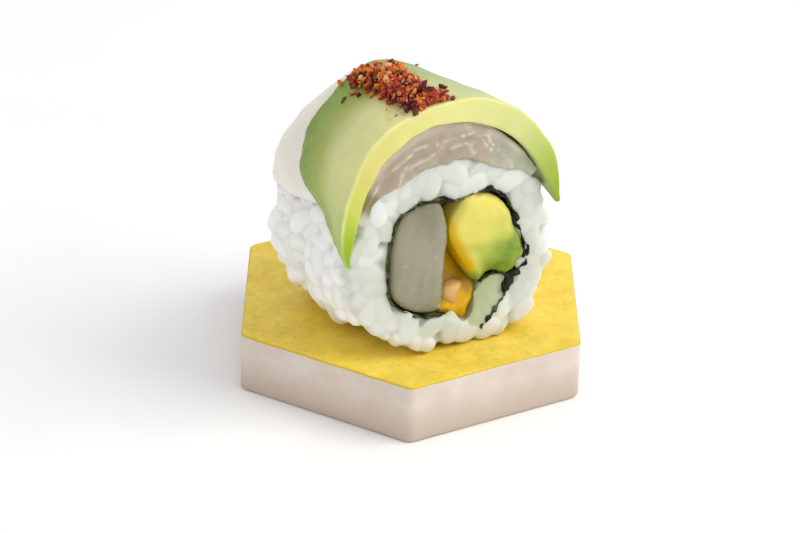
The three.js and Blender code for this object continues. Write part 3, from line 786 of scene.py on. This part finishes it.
def rice_core():
    """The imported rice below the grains: a tube round the fillings."""
    angle = np.linspace(-180, 180, 150, endpoint=False)
    fine = np.concatenate([hole_ring, (hole_ring + np.roll(hole_ring, -1, axis=0)) / 2])
    found = angle_of(fine)
    order = found.argsort()
    hole = np.interp(angle, found[order], np.hypot(*fine[order].T), period=360) + CORE_CLEAR
    way = np.column_stack([np.cos(np.radians(angle)), np.sin(np.radians(angle))])
    levels = np.linspace(BACK + CORE_ENDS, FACE - CORE_ENDS, 9)
    loop = []
    for z in levels:
        flat = way * np.maximum(rice_radius(angle, z) - CORE_IN, hole + CORE_WALL)[:, None]
        flat[:, 1] = np.maximum(flat[:, 1], CORE_UP - AXIS_UP)
        loop.append((flat, z))
    loop += [(way * hole[:, None], z) for z in levels[::-1]]
    points = []
    for flat, z in loop:
        height = face_at(flat[:, 1]) - CORE_ENDS if z == levels[-1] else np.full(len(flat), z)
        points.append(np.column_stack([flat, height]))
    return np.concatenate(points), ring_faces(len(angle), len(loop), closed=True)


def largest_skin(points, faces):
    """The biggest closed skin alone, without those round the air pockets inside."""
    label = np.arange(len(points))
    while True:
        lowest = label[faces].min(1)
        before = label.copy()
        for corner in faces.T:
            np.minimum.at(label, corner, lowest)
        label = label[label]
        if (label == before).all():
            break
    names, sizes = np.unique(label, return_counts=True)
    kept = label == names[sizes.argmax()]
    number = np.cumsum(kept) - 1
    return points[kept], number[faces[kept[faces[:, 0]]]]


random = np.random.default_rng(17)
middles = scatter(random, GRAIN_COUNT, -0.4, GRAIN_APART)
depth = random.uniform(*GRAIN_DEPTH, len(middles))
out = off_rice(middles)[1]
along = np.cross(out, random.normal(size=out.shape))
along += 0.25 * out * random.normal(size=(len(out), 1))
along /= np.linalg.norm(along, axis=1)[:, None]
width = GRAIN_WIDE * random.uniform(0.78, 1.15, len(middles))
reach = (GRAIN_LONG - GRAIN_WIDE) / 2 * random.uniform(0.7, 1.2, len(middles))
middles, along = settle(middles, along, reach[:, None], depth)
grain_points, grain_faces = grain_meshes(middles, along, reach, width, random)
grain_points[:, 1] = np.maximum(grain_points[:, 1], 0.05 - AXIS_UP)
core_points, core_faces = rice_core()
core_faces = [[index + len(grain_points) for index in face] for face in core_faces]
points, faces = grown_skin(np.concatenate([grain_points, core_points]), grain_faces + core_faces, RICE_SKIN)
points, faces = largest_skin(points, faces)
points = eased(points, faces, 2)

# Each point's own grain and the next nearest one, which it meets in a seam.
steps = (-1, -0.5, 0, 0.5, 1)
spots = np.concatenate([middles + step * along * reach[:, None] for step in steps])
grains = kdtree.KDTree(len(spots))
for index, spot in enumerate(spots):
    grains.insert(spot, index)
grains.balance()
own = np.zeros(len(points), int)
first = np.zeros(len(points))
second = np.zeros(len(points))
for row, spot in enumerate(points):
    found = grains.find_n(spot, 9)
    own[row] = found[0][1] % len(middles)
    first[row] = found[0][2]
    second[row] = next((far for _, index, far in found if index % len(middles) != own[row]), 9.0)
seam = np.exp(-(((second - first) / SEAM_WIDE) ** 2))
away, out = off_rice(points)
points -= out * (SEAM_DEEP * seam)[:, None]
ahead = points[:, 2] - face_at(points[:, 1])
behind = BACK - points[:, 2]
points[:, 2] -= np.maximum(ahead - 0.15, 0) * (1 - PRESSED)
points[:, 2] += np.maximum(behind - 0.15, 0) * (1 - PRESSED)
off, way = off_line(points, hole_ring, closed=True)
ahead = points[:, 2] - face_at(points[:, 1])
rim = (1 - smooth_step(off, 0.3, 1.9)) * smooth_step(ahead, -2.4, -1.0)
points[:, 2] += 0.75 * rim * np.maximum(RIM_LEVEL - ahead, 0)
points[:, :2] -= way / (off + 1e-6)[:, None] * (RIM_IN * rim * np.minimum(off, 1))[:, None]
points = eased(points, faces, 1, 0.4)

# Painted shade in the gaps below the grains' tops; the seam mask below also carries painted shade where
# grains meet.
gap_shade = smooth_step(-away, 0.1, 1.5)
near_filling = 1 - smooth_step(off_line(points, hole_ring, closed=True)[0], 0.5, 3.5)
in_pocket = inside(points, np.array(POCKET))
# Greyer on the cut ends than round the side: painted shade there, on top of each grain's own random tone.
cut_end_shade = smooth_step(points[:, 2] - face_at(points[:, 1]), -2.4, -0.6)
tone = np.clip(0.45 * random.uniform(0, 1, len(middles))[own] + 0.6 * cut_end_shade, 0, 1)
tint = np.clip(near_filling * 0.2 + in_pocket * 0.85, 0, 1) * smooth_step(points[:, 2], FACE - 6, FACE)
# The foot near the plate: painted reflection of the yellow glaze, with painted shade.
foot = 1 - smooth_step(points[:, 1] + AXIS_UP, 0.3, 6)
masks = {"tone": tone, "tint": tint, "seam": seam, "gap": gap_shade, "foot": foot}

steamed, tree = moist("steamed rice", 0.8, 2.6, (1.0, 0.95, 0.85), 1.4)
body = blend(tree, mask(tree, "tone"), GRAIN, GRAIN_CLEAR_AND_SHADE)
for name, (share, tint) in GRAIN_TINT_AND_SHADE.items():
    body = stain_and_painted_light(tree, body, mask(tree, name), share, tint)
drive(tree, "Base Color", body)
sheen(tree, 1.5, 0.28, 0.5)
pores(tree, 0.45, 0.03)

rice = piece("rice_grains", on_plate(points), faces, steamed, masks)
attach(rice, "root")
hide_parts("rice")

# One more grain of the same rice, which strayed onto the mango and took up its juice.
STRAY_AT = (0.4, -8.4, FACE - 0.9)  # in the roll's frame
STRAY_ALONG = (0.29, 0.96, 0.0)
STRAY_REACH = 0.35  # from its middle to the middle of its rounded end
STRAY_WIDE = 3.5
STRAY_JUICE = "#d2a455"
STRAY_PALE = "#dcb983"

soaked, tree = moist("soaked grain", 0.8, 1.6, (1.0, 0.8, 0.5), 1.4)
drive(tree, "Base Color", blend(tree, mottle(tree, 1.6, 0.5, 0.3), STRAY_JUICE, STRAY_PALE))
sheen(tree, 1.5, 0.2, 0.4)

stray_grain = [np.array([value]) for value in (STRAY_AT, STRAY_ALONG, STRAY_REACH, STRAY_WIDE)]
points, faces = grain_meshes(*stray_grain, random)
stray = piece("stray_grain", on_plate(points), faces, soaked)
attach(stray, "root")
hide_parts("mango_filling")

# The slice of fish: raw white fish cut thick across the grain and bent over the rice, its cut edge towards
# the front with pale seams of tissue between darker, glassy blocks of muscle.

# Its outer radius by angle.
FISH_TOP = [
    (16, 19.1), (31, 19.1), (40, 19.4), (53, 20.2), (71, 21.6), (90, 22.9), (111, 22.7), (124, 22.3),
    (132, 22.3), (140, 22.2), (150, 21.7), (158, 21.1), (165, 20.5), (172, 20.0),
]
# How much further out its cut end lies.
FISH_BULGE = [
    (84, 0), (96, 0.5), (103, 1.1), (109, 1.3), (117, 1.4), (128, 1.3), (138, 0.3), (148, -0.3),
    (160, -0.1), (170, 0),
]
FISH_LEFT = [(-9, 166), (-4, 166), (1, 163), (4, 161), (18.5, 155)]  # its left end, along the roll
FISH_MEAN_LEFT = 161  # and in the middle of it
FISH_RIGHT = 36
FISH_LEAST = 0.8  # the least it thins to
FISH_OVER = 0.6  # how far it stands out past both ends of the rice
FISH_TIP = 1.6  # the length over which its left end is rounded
FISH_MIDDLE = 19  # its mean radius there
TIP_SHARE = 0.3  # the share of its thickness at which the rounded end comes to a point
GAP = 0.3  # left between neighbours

SLICE_SKIN = "#f1ece2"
SLICE_MUSCLE = "#ac9d8a"
# Greyer flesh; at the slice's left end under the avocado it is partly painted shade.
SLICE_RIGHT = "#b1b19c"
SLICE_SEAM = "#d9d4c7"
SLICE_SHADOW = "#7c733c"  # painted shadow that the avocado's band above casts on it
# The seams as seen on the cut edge, in pairs of angle and share of the way out.
SEAMS = [
    [
        (150, 0.62), (138, 0.5), (130, 0.62), (120, 0.52), (110, 0.66), (98, 0.6), (88, 0.7), (76, 0.72),
        (66, 0.6),
    ],
    [(128, 0.1), (120, 0.34), (112, 0.26), (106, 0.3)],
    [(104, 0.62), (96, 0.42), (86, 0.4), (80, 0.2)],
    [(84, 0.7), (74, 0.5), (66, 0.36)],
    [(66, 0.62), (58, 0.4), (50, 0.2)],
]

fish_far = curve(FISH_TOP)
fish_bulge = curve(FISH_BULGE)
fish_left = curve(FISH_LEFT)


def fish_top(angle, z):
    """The outer radius of the slice of fish."""
    return fish_far(angle) + fish_bulge(angle) * smooth_step(z, -2, 15)


def rounded(first, second, size_first, size_second, radius):
    """Places across a rectangle, its corners rounded; both places are shares of the sizes."""
    a, b = first * size_first, second * size_second
    radius = np.minimum(radius, np.minimum(size_first, size_second) * 0.49)
    core_a = np.clip(a, radius, size_first - radius)
    core_b = np.clip(b, radius, size_second - radius)
    off_a, off_b = a - core_a, b - core_b
    length = np.hypot(off_a, off_b) + 1e-9
    scale = np.where(length > radius, radius / length, 1)
    return (core_a + off_a * scale) / size_first, (core_b + off_b * scale) / size_second


def around(angle, radius, z):
    """Points at those angles in degrees, radii and places along the roll."""
    turn = np.radians(angle)
    return np.column_stack([radius * np.cos(turn), radius * np.sin(turn), z])


grid, faces = box_grid(180, 14, 64)
u, v, w = grid.T
w = w * 0.6 + 0.4 * smooth_step(w, 0, 1)
width = FACE - BACK + 2 * FISH_OVER
rough_angle = FISH_MEAN_LEFT + u * (FISH_RIGHT - FISH_MEAN_LEFT)
thick = np.maximum(FISH_LEAST, fish_far(rough_angle) - rice_outline(rough_angle) - GAP)
v, w = rounded(v, w, thick, width, 0.6)
z = BACK - FISH_OVER + w * width
angle = fish_left(z) + u * (FISH_RIGHT - fish_left(z))
arc = np.radians(fish_left(z) - angle) * FISH_MIDDLE
past = np.clip(1 - arc / FISH_TIP, 0, 1)
v = TIP_SHARE + (v - TIP_SHARE) * np.sqrt(np.maximum(1 - past**2, 0.002))
inner = rice_radius(angle, z) + GAP
thick = np.maximum(FISH_LEAST, fish_top(angle, z) - inner)
radius = inner + thick * v
place = around(angle, radius, z)
radius += 0.16 * lumps(place, 4.0, 51) + 0.05 * lumps(place * np.array([1, 1, 0.4]), 1.4, 52)
at_cut = smooth_step(w, 0.93, 1)
z = z + at_cut * (0.25 * lumps(place[:, :2], 3.0, 53) + 0.08 * lumps(place[:, :2], 1.2, 54))
points = around(angle, radius, z)

seam = np.zeros(len(points))
for pairs in SEAMS:
    at, share = np.array(pairs).T
    low = rice_outline(at) + GAP
    line = around(at, low + share * (fish_top(at, FACE) - low), at)[:, :2]
    wander = 0.36 * lumps(place, 2.6, 55) + 0.05 * lumps(place, 0.7, 57)
    off = off_line(place + wander[:, None], smooth_line(line, 40))[0]
    wide = np.maximum(0.1, 0.19 * (1 + 0.45 * lumps(place, 2.4, 58)))
    shown = np.clip(0.7 + 0.35 * lumps(place, 3.2, 56), 0.2, 1)
    seam = np.maximum(seam, np.exp(-((off / wide) ** 2)) * shown)
points[:, 2] += at_cut * 0.14 * seam
cut = smooth_step(w, 0.95, 0.995) * (v < 0.985)
muscle = cut * (1 - 0.35 * smooth_step(v, 0.7, 1)) * (1 - 0.3 * smooth_step(angle, 144, 150))
# Painted shadow of the avocado's band on the cut edge near the slice's left end.
band_shadow = cut * smooth_step(angle, 137, 141) * (1 - smooth_step(angle, 146, 152))
# Greyer flesh at its right end, and at its left end under the avocado's band, where the greyer colour is
# partly painted shade.
right = smooth_step(-angle, -85, -55) + smooth_step(angle, 139, 146)

slice_flesh, tree = moist("sliced white fish", 0.7, 2.0, (1.0, 0.9, 0.75), 1.38)
muscle_colour = blend(tree, mask(tree, "right"), SLICE_MUSCLE, SLICE_RIGHT)
body = blend(tree, mask(tree, "muscle"), SLICE_SKIN, muscle_colour)
body = stain_and_painted_light(tree, body, mottle(tree, 2.2, 0.35, 0.2), 0.2, SLICE_SEAM)
body = stain_and_painted_light(tree, body, mask(tree, "band_shadow"), 0.88, SLICE_SHADOW)
drive(tree, "Base Color", blend(tree, mask(tree, "seam"), body, SLICE_SEAM))
sheen(tree, 1.6, 0.2, 0.42)
pores(tree, 0.7, 0.04)

seam = np.clip(seam, 0, 1) * np.where(cut > 0.5, 1, 0.35) * (1 - 0.9 * smooth_step(angle, 134, 142))
masks = {"muscle": muscle, "right": right, "band_shadow": band_shadow, "seam": seam}
fish_over = piece("fish_over", on_plate(points), faces, slice_flesh, masks)
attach(fish_over, "root")
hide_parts("fish_slice")

# The avocado on top: one crescent from a fanned ripe avocado, a wedge across. Its broad side goes from the
# green just under the skin to pale butter yellow, and its cut edge is yellow, with both tips green.

# Its outer radius by angle at the near edge, and where its far and near edges lie along the roll.
AVOCADO_TOP = [
    (16, 20.2), (19, 20.3), (26, 21.3), (37, 22.9), (49, 24.1), (63, 25.7), (74, 26.9), (84, 27.4),
    (92, 27.6), (99, 27.8), (105, 28.0), (112, 28.2), (119, 28.4), (128, 28.0), (136, 26.7), (142, 25.8),
    (148, 25.1), (154, 24.4), (160, 23.9), (166, 23.4), (172, 22.5),
]
AVOCADO_REAR = [
    (16, 19.0), (24, 14.0), (36, 5.0), (50, -2.0), (66, -5.6), (86, -7.4), (100, -7.2), (110, -5.8),
    (119, -4.4), (126, -4.0), (133, -3.2), (139, -2.0), (145, -0.6), (150, 1.2), (154, 4.2), (158, 10.0),
    (163, 14.2), (168, 18.8), (172, 21.6),
]
AVOCADO_FRONT = [(16, 19.9), (50, 19.4), (130, 19.4), (155, 20.0), (172, 21.7)]
AVOCADO_LIFT = [(150, 0), (156, 0.1), (162, 0.5), (168, 1.2)]  # how far it stands off the fish
AVOCADO_LEFT = 171.5
AVOCADO_RIGHT = 16
TIP_THICK = 0.8
RIDGE_WIDE = 0.34  # the painted highlight along the line where its broad side meets its cut edge

# Its colours: across the broad side on the left and right, along the cut edge, and how green along its arc.
BROAD_LEFT = [(0, "#76962c"), (0.12, "#819e34"), (0.35, "#a4b04a"), (0.6, "#d9da96"), (1, "#e6e59c")]
BROAD_RIGHT = [(0, "#88a064"), (0.3, "#98aa74"), (0.7, "#b2bc86"), (1, "#c8ce8c")]
BROAD_CLOUD = "#bfc67c"
CUT_RUN = [
    (0, "#88a80c"), (0.07, "#9bb71e"), (0.15, "#c8cd58"), (0.26, "#dad17a"), (0.5, "#e3e094"),
    (0.72, "#d2d68c"), (0.84, "#afc254"), (1, "#86a018"),
]
TIP_GREEN = "#90ae20"
TIP_RUN = [
    (0, "#ffffff"), (0.1, "#bcbcbc"), (0.155, "#848484"), (0.22, "#000000"), (0.86, "#000000"),
    (1, "#ffffff"),
]
# The pale line along the ridge is a painted highlight.
RIDGE_HIGHLIGHT = "#f1edb4"
# Pale spots in its dewy patch, painted glints of the dew.
DEW_GLINT = "#e6eccb"
OIL = "#c8782a"
# Where the oil of the chilli has soaked in, as lines seen from above.
OIL_POOL = [(-8.2, -1.0), (-3.8, 16.2)]
OIL_RUN = [(-11.8, 18.6), (-8.4, 12.0)]

avocado_top = curve(AVOCADO_TOP)
avocado_rear = curve(AVOCADO_REAR)
avocado_front = curve(AVOCADO_FRONT)
avocado_lift = curve(AVOCADO_LIFT)


def avocado_inner(angle, z):
    """The avocado's inner radius: it hugs the fish but stands off it near its left tip."""
    return fish_top(angle, z) + GAP + avocado_lift(angle)


def avocado_full(angle):
    """Its thickness at the near edge."""
    return np.maximum(TIP_THICK, avocado_top(angle) - avocado_inner(angle, FACE))


def avocado_radius(angle, z):
    """The avocado's outer radius: full at its near edge and thin at the far one."""
    rear = avocado_rear(angle)
    share = np.clip((z - rear) / (avocado_front(angle) - rear), 0, 1)
    return avocado_inner(angle, z) + TIP_THICK + (avocado_full(angle) - TIP_THICK) * share


grid, faces = box_grid(230, 10, 72)
u, v, w = grid.T
u = 0.5 - 0.5 * np.cos(math.pi * u) * (1 - 0.35 * (1 - np.abs(np.cos(math.pi * u))))
angle = AVOCADO_LEFT + u * (AVOCADO_RIGHT - AVOCADO_LEFT)
rear, front = avocado_rear(angle), avocado_front(angle)
full = avocado_full(angle)
v, w = rounded(v, w, full, front - rear, 0.3)
ridge_off = np.hypot((1 - w) * (front - rear), (1 - v) * full)
z = rear + w * (front - rear)
inner = avocado_inner(angle, z)
outer = avocado_radius(angle, z)
radius = inner + (outer - inner) * v
place = around(angle, radius, z)
rear_rim = smooth_step(angle, 120, 150) * (1 - smooth_step(w, 0.0, 0.12))
z = z + rear_rim * (0.12 * lumps(place, 0.9, 61) + 0.22 * lumps(place, 2.4, 65))
radius += v * (0.12 * lumps(place, 5.0, 62) + 0.04 * lumps(place, 1.2, 63))
z = z + smooth_step(w, 0.9, 1) * (1 - v) * 0.1 * lumps(place[:, :2], 2.4, 64)
points = around(angle, radius, z)

crescent, tree = moist("sliced avocado", 0.5, 1.0, (0.9, 1.0, 0.3), 1.36)
across, arc, dew = mask(tree, "across"), mask(tree, "arc"), mask(tree, "dew")
left, right = ramp(tree, across, BROAD_LEFT), ramp(tree, across, BROAD_RIGHT)
broad = blend(tree, span(tree, arc, 0.42, 0.62), left, right)
broad = stain_and_painted_light(tree, broad, mottle(tree, 3.0, 0.45, 0.25), 0.25, BROAD_CLOUD)
broad = blend(tree, ramp(tree, arc, TIP_RUN), broad, TIP_GREEN)
body = blend(tree, mask(tree, "cut"), broad, ramp(tree, arc, CUT_RUN))
body = stain_and_painted_light(tree, body, mask(tree, "ridge_highlight"), 0.85, RIDGE_HIGHLIGHT)
# Pale spots in the dewy patch: painted glints of the dew.
dew_glints = reckon(tree, "MULTIPLY", dew, mottle(tree, 0.4, 0.36, 0.05))
body = stain_and_painted_light(tree, body, dew_glints, 0.35, DEW_GLINT)
body = stain_and_painted_light(tree, body, mask(tree, "oil"), mottle(tree, 1.6, 0.45, 0.12), OIL)
drive(tree, "Base Color", body)
drive(tree, "Roughness", span(tree, dew, 0, 1, 0.36, 0.16))
beads = reckon(tree, "MULTIPLY", mottle(tree, 0.28, 0.5, 0.3), span(tree, dew, 0, 1, 0.25, 1))
relief(tree, beads, 0.09)

cut = (smooth_step(w, 0.97, 0.999) * (v < 0.99)).astype(float)
dew = smooth_step(angle, 118, 140) * (1 - smooth_step(w, 0.1, 0.6)) * (1 - smooth_step(angle, 158, 166))
seen_above = np.column_stack([points[:, 0], points[:, 2]])
off = off_line(seen_above, OIL_POOL)[0]
oil = (1 - smooth_step(off, 2.6, 5.4)) * smooth_step(points[:, 2], 5, 9) * 0.75
off = off_line(seen_above, OIL_RUN)[0]
oil = np.maximum(oil, 0.55 * (1 - smooth_step(off, 0.8, 2.4))) * (1 - smooth_step(w, 0.93, 0.97))
# Painted highlight along the ridge between the broad side and the cut edge.
ridge_highlight = np.exp(-((ridge_off / RIDGE_WIDE) ** 2)) * smooth_step(angle, 104, 116)
ridge_highlight *= 1 - 0.7 * smooth_step(angle, 155, 166)
share = (AVOCADO_LEFT - angle) / (AVOCADO_LEFT - AVOCADO_RIGHT)
masks = {"across": w, "arc": share, "cut": cut, "dew": dew, "oil": oil, "ridge_highlight": ridge_highlight}
avocado_over = piece("avocado_over", on_plate(points), faces, crescent, masks)
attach(avocado_over, "root")
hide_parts("avocado_slice")

# The chilli: a pinch of crushed dried chilli in its own oil, heaped on the avocado along its crown. Most
# crumbs are amber or brick red, those at the foot maroon, and a few are pale seeds or bits of dark skin.

# The heap's middle, half width and height along the roll.
HEAP_MIDDLE = [(-4.8, -6.6), (-2.6, -5.6), (0.2, -4.9), (7, -5.3), (13.8, -5.9), (18.4, -5.2)]
HEAP_HALF = [
    (-4.8, 0.8), (-2.6, 2.2), (0.2, 3.0), (3.4, 3.1), (7, 2.7), (13.8, 2.9), (16.4, 3.4), (18.4, 2.6),
]
HEAP_HIGH = [(-4.8, 0.6), (-2.6, 2.1), (0.2, 2.7), (3.4, 2.7), (7, 2.3), (13.8, 1.9), (18.4, 0.7)]
CRUMB_COUNT = 1400
CRUMB_LEAST = 0.16
CRUMB_SPREAD = 0.5  # how much larger the largest are
CRUMB_UNEVEN = 0.28
CROWN = 25.0  # a first guess of the avocado's radius below the heap
# Each kind's share of the crumbs at the heap's foot and on its crest, and its colours.
CRUMBS = {
    "amber": (0.14, 0.42, "#c2590f", "#ee9036"),
    "brick": (0.34, 0.34, "#90200a", "#cb4413"),
    "maroon": (0.42, 0.07, "#380b0b", "#701813"),
    "pale": (0.03, 0.13, "#db945f", "#f2be92"),
    "skin": (0.07, 0.05, "#2d1d0c", "#70521a"),
}
# How the shares change on the heap's left, at its far end and at its near end.
MIX_LEFT = (0.5, 1, 2.2, 0.5, 1.2)
MIX_FAR = (1.9, 1, 0.45, 1.3, 1.2)
MIX_NEAR = (0.6, 1.3, 1.8, 0.6, 1)
# Crumbs that stand out: kind, place right of the axis and along the roll, lift, and half of each size.
SINGLES = [
    ("skin", -2.3, 0.2, 2.0, 1.2, 0.9, 0.6), ("skin", -3.0, 1.6, 2.1, 1.0, 0.7, 0.5),
    ("amber", -1.9, 9.0, 0.9, 1.3, 1.1, 0.25), ("amber", -2.4, 3.6, 2.0, 1.1, 0.6, 0.4),
    ("maroon", -4.6, 14.4, 1.7, 1.5, 1.0, 0.4), ("maroon", -3.5, 15.2, 1.2, 1.2, 0.8, 0.4),
    ("brick", -2.0, 16.4, 0.8, 1.2, 0.6, 0.5), ("brick", -3.4, 16.6, 0.7, 0.9, 0.6, 0.5),
    ("pale", -3.2, 0.9, 2.6, 0.8, 0.6, 0.5), ("pale", -3.9, 2.2, 2.6, 0.8, 0.6, 0.5),
    ("pale", -6.9, 13.0, 1.3, 0.7, 0.5, 0.4), ("pale", -2.7, 15.2, 1.0, 0.7, 0.5, 0.4),
    ("amber", -6.4, 16.6, 0.9, 0.8, 0.6, 0.4), ("brick", -5.6, 17.8, 0.4, 0.9, 0.5, 0.4),
    ("maroon", 0.1, 12.2, 0.3, 0.8, 0.5, 0.3), ("maroon", 0.5, 12.6, 0.2, 0.5, 0.4, 0.3),
    ("skin", -1.4, 18.2, 0.2, 0.5, 0.35, 0.3), ("skin", -11.1, 0.0, 0.2, 0.8, 0.4, 0.3),
    ("amber", -8.9, -5.2, 0.3, 0.8, 0.6, 0.4), ("brick", -9.5, 0.4, 0.2, 0.7, 0.4, 0.3),
    ("maroon", -9.5, 2.1, 0.2, 0.7, 0.4, 0.3), ("brick", -9.2, 1.3, 0.2, 0.6, 0.4, 0.3),
    ("brick", -9.0, 8.4, 0.2, 0.7, 0.5, 0.3), ("brick", -9.1, 11.8, 0.2, 0.6, 0.4, 0.3),
    ("amber", -10.6, 13.0, 0.05, 0.4, 0.3, 0.15), ("brick", -10.8, 16.4, 0.05, 0.4, 0.3, 0.15),
    ("skin", -7.9, -3.0, 0.4, 0.8, 0.5, 0.4), ("skin", -8.3, -1.8, 0.3, 0.7, 0.5, 0.4),
    ("brick", -8.4, 18.9, 0.1, 0.5, 0.4, 0.3), ("amber", 6.2, -6.0, 0.2, 0.5, 0.3, 0.3),
]


def on_avocado(x, z):
    """The point on top of the avocado, x right of the axis and z along the roll, and the way out."""
    radius = CROWN
    for _ in range(5):
        angle = np.degrees(np.arccos(x / radius))
        radius = avocado_radius(angle, z)
    out = np.array([math.cos(math.radians(angle)), math.sin(math.radians(angle)), 0])
    return np.array([radius * out[0], radius * out[1], z]), out


def crumb(random, at, size):
    """One angular crumb: a ball of a few points with uneven reach, stretched and turned."""
    uneven = random.normal(size=(len(ball_points), 1)).clip(-1.3, 1.3)
    ball = ball_points * (1 + CRUMB_UNEVEN * uneven) * size
    turn = Matrix.Rotation(random.uniform(0, 2 * math.pi), 3, Vector(random.normal(size=3)).normalized())
    return ball @ np.array(turn) + at


shape = bmesh.new()
bmesh.ops.create_icosphere(shape, subdivisions=1, radius=1)
shape.verts.ensure_lookup_table()
ball_points = np.array([list(vertex.co) for vertex in shape.verts])
ball_faces = np.array([[vertex.index for vertex in face.verts] for face in shape.faces])
shape.free()

random = np.random.default_rng(71)
heap_middle, heap_half, heap_high = curve(HEAP_MIDDLE), curve(HEAP_HALF), curve(HEAP_HIGH)
crumbs = {kind: [] for kind in CRUMBS}
for index in range(CRUMB_COUNT):
    z = HEAP_MIDDLE[0][0] + (HEAP_MIDDLE[-1][0] - HEAP_MIDDLE[0][0]) * (index + 0.5) / CRUMB_COUNT
    across = random.uniform(-1, 1)
    crest = math.sqrt(1 - across**2) * random.uniform(0.35, 1.0) ** 0.5
    ragged = 1 + 0.18 * random.normal()
    x = float(heap_middle(z)) + across * float(heap_half(z)) * ragged
    spot, out = on_avocado(x, z + random.normal(0, 0.3))
    spot = spot + out * (0.1 + crest * float(heap_high(z)) * random.uniform(0.75, 1.05))
    shares = np.array([foot + (top - foot) * crest for foot, top, _, _ in CRUMBS.values()])
    for applies, mix in ((across < -0.55, MIX_LEFT), (z < 6, MIX_FAR), (z > 9, MIX_NEAR)):
        if applies:
            shares *= mix
    kind = list(CRUMBS)[int(np.searchsorted(np.cumsum(shares / shares.sum()), random.uniform(0, 1)))]
    grade = CRUMB_LEAST + CRUMB_SPREAD * random.uniform(0, 1) ** 2
    size = grade * np.array([random.uniform(0.8, 1.4), 1, random.uniform(0.35, 0.9)])
    crumbs[kind].append(crumb(random, spot, size))
for kind, x, z, lift, *size in SINGLES:
    spot, out = on_avocado(x, z)
    crumbs[kind].append(crumb(random, spot + out * lift, np.array(size)))

for kind, (_, _, dark, light) in CRUMBS.items():
    chilli, tree = moist("chilli " + kind, 0.3, 0.6, (1, 0.3, 0.1), 1.45)
    drive(tree, "Base Color", blend(tree, mottle(tree, 0.9, 0.5, 0.25), dark, light))
    sheen(tree, 0.5, 0.35, 0.65)
    faces = np.concatenate([ball_faces + len(ball_points) * i for i in range(len(crumbs[kind]))])
    flakes = piece("chilli_" + kind, on_plate(np.concatenate(crumbs[kind])), faces, chilli, flat=True)
    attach(flakes, "root")
    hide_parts("avocado_slice")

# The plain white table that the plate stands on, soft daylight from the right and above, and the camera.
TABLE = "#ffffff"
TABLE_SHADE = "#fbfbfb"
TABLE_REACH = 3000.0
TABLE_DROP = 0.1  # how far it lies below the plate
LIGHT_AT = (0, 0, 0.03)  # the point that the light faces, in metres
ROOM_LIGHT = 0.75
CAMERA_AT = (-0.21923, -0.36294, 0.23932)  # in metres
CAMERA_WAY = (0.45358841, 0.75909314, -0.46694235)
CAMERA_ROLL = 1.881  # degrees
CAMERA_LENS = 125.4
CAMERA_SENSOR = 36


def lamp(name, direction, distance, size, power, tone):
    """A square soft light shining at the roll from a direction."""
    data = bpy.data.lights.new(name, "AREA")
    data.size = size
    data.energy = power
    data.color = colour(tone)[:3]
    made = bpy.data.objects.new(name, data)
    bpy.context.scene.collection.objects.link(made)
    way = Vector(direction).normalized()
    made.location = Vector(LIGHT_AT) + way * distance
    made.rotation_mode = "QUATERNION"
    made.rotation_quaternion = way.to_track_quat("Z", "Y")


white, tree = finish("white table", Roughness=0.9, Specular_IOR_Level=0.2)
drive(tree, "Base Color", blend(tree, mottle(tree, 60.0), TABLE, TABLE_SHADE))
corners = TABLE_REACH * np.array([(-1, -1, 0), (1, -1, 0), (1, 1, 0), (-1, 1, 0)])
table = piece("table", corners, [(0, 1, 2, 3)], white)
table.location.z = -TABLE_DROP * MM
table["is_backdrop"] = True

lamp("window", (0.62, -0.5, 0.72), 0.75, 0.55, 3.4, "#fffdf8")
world = bpy.data.worlds.new("white room")
world.use_nodes = True
room = world.node_tree.nodes["Background"]
room.inputs["Color"].default_value = (1, 1, 1, 1)
room.inputs["Strength"].default_value = ROOM_LIGHT
bpy.context.scene.world = world
bpy.context.scene.view_settings.view_transform = "Standard"

camera_data = bpy.data.cameras.new("camera")
camera_data.lens = CAMERA_LENS
camera_data.sensor_width = CAMERA_SENSOR
camera = bpy.data.objects.new("camera", camera_data)
bpy.context.scene.collection.objects.link(camera)
way = Vector(CAMERA_WAY).normalized()
level = way.cross(Vector((0, 0, 1))).normalized()
up = level.cross(way)
roll = math.radians(CAMERA_ROLL)
right_way = level * math.cos(roll) + up * math.sin(roll)
up_way = up * math.cos(roll) - level * math.sin(roll)
camera.matrix_world = Matrix.Translation(CAMERA_AT) @ Matrix((right_way, up_way, -way)).transposed().to_4x4()
bpy.context.scene.camera = camera

low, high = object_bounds()
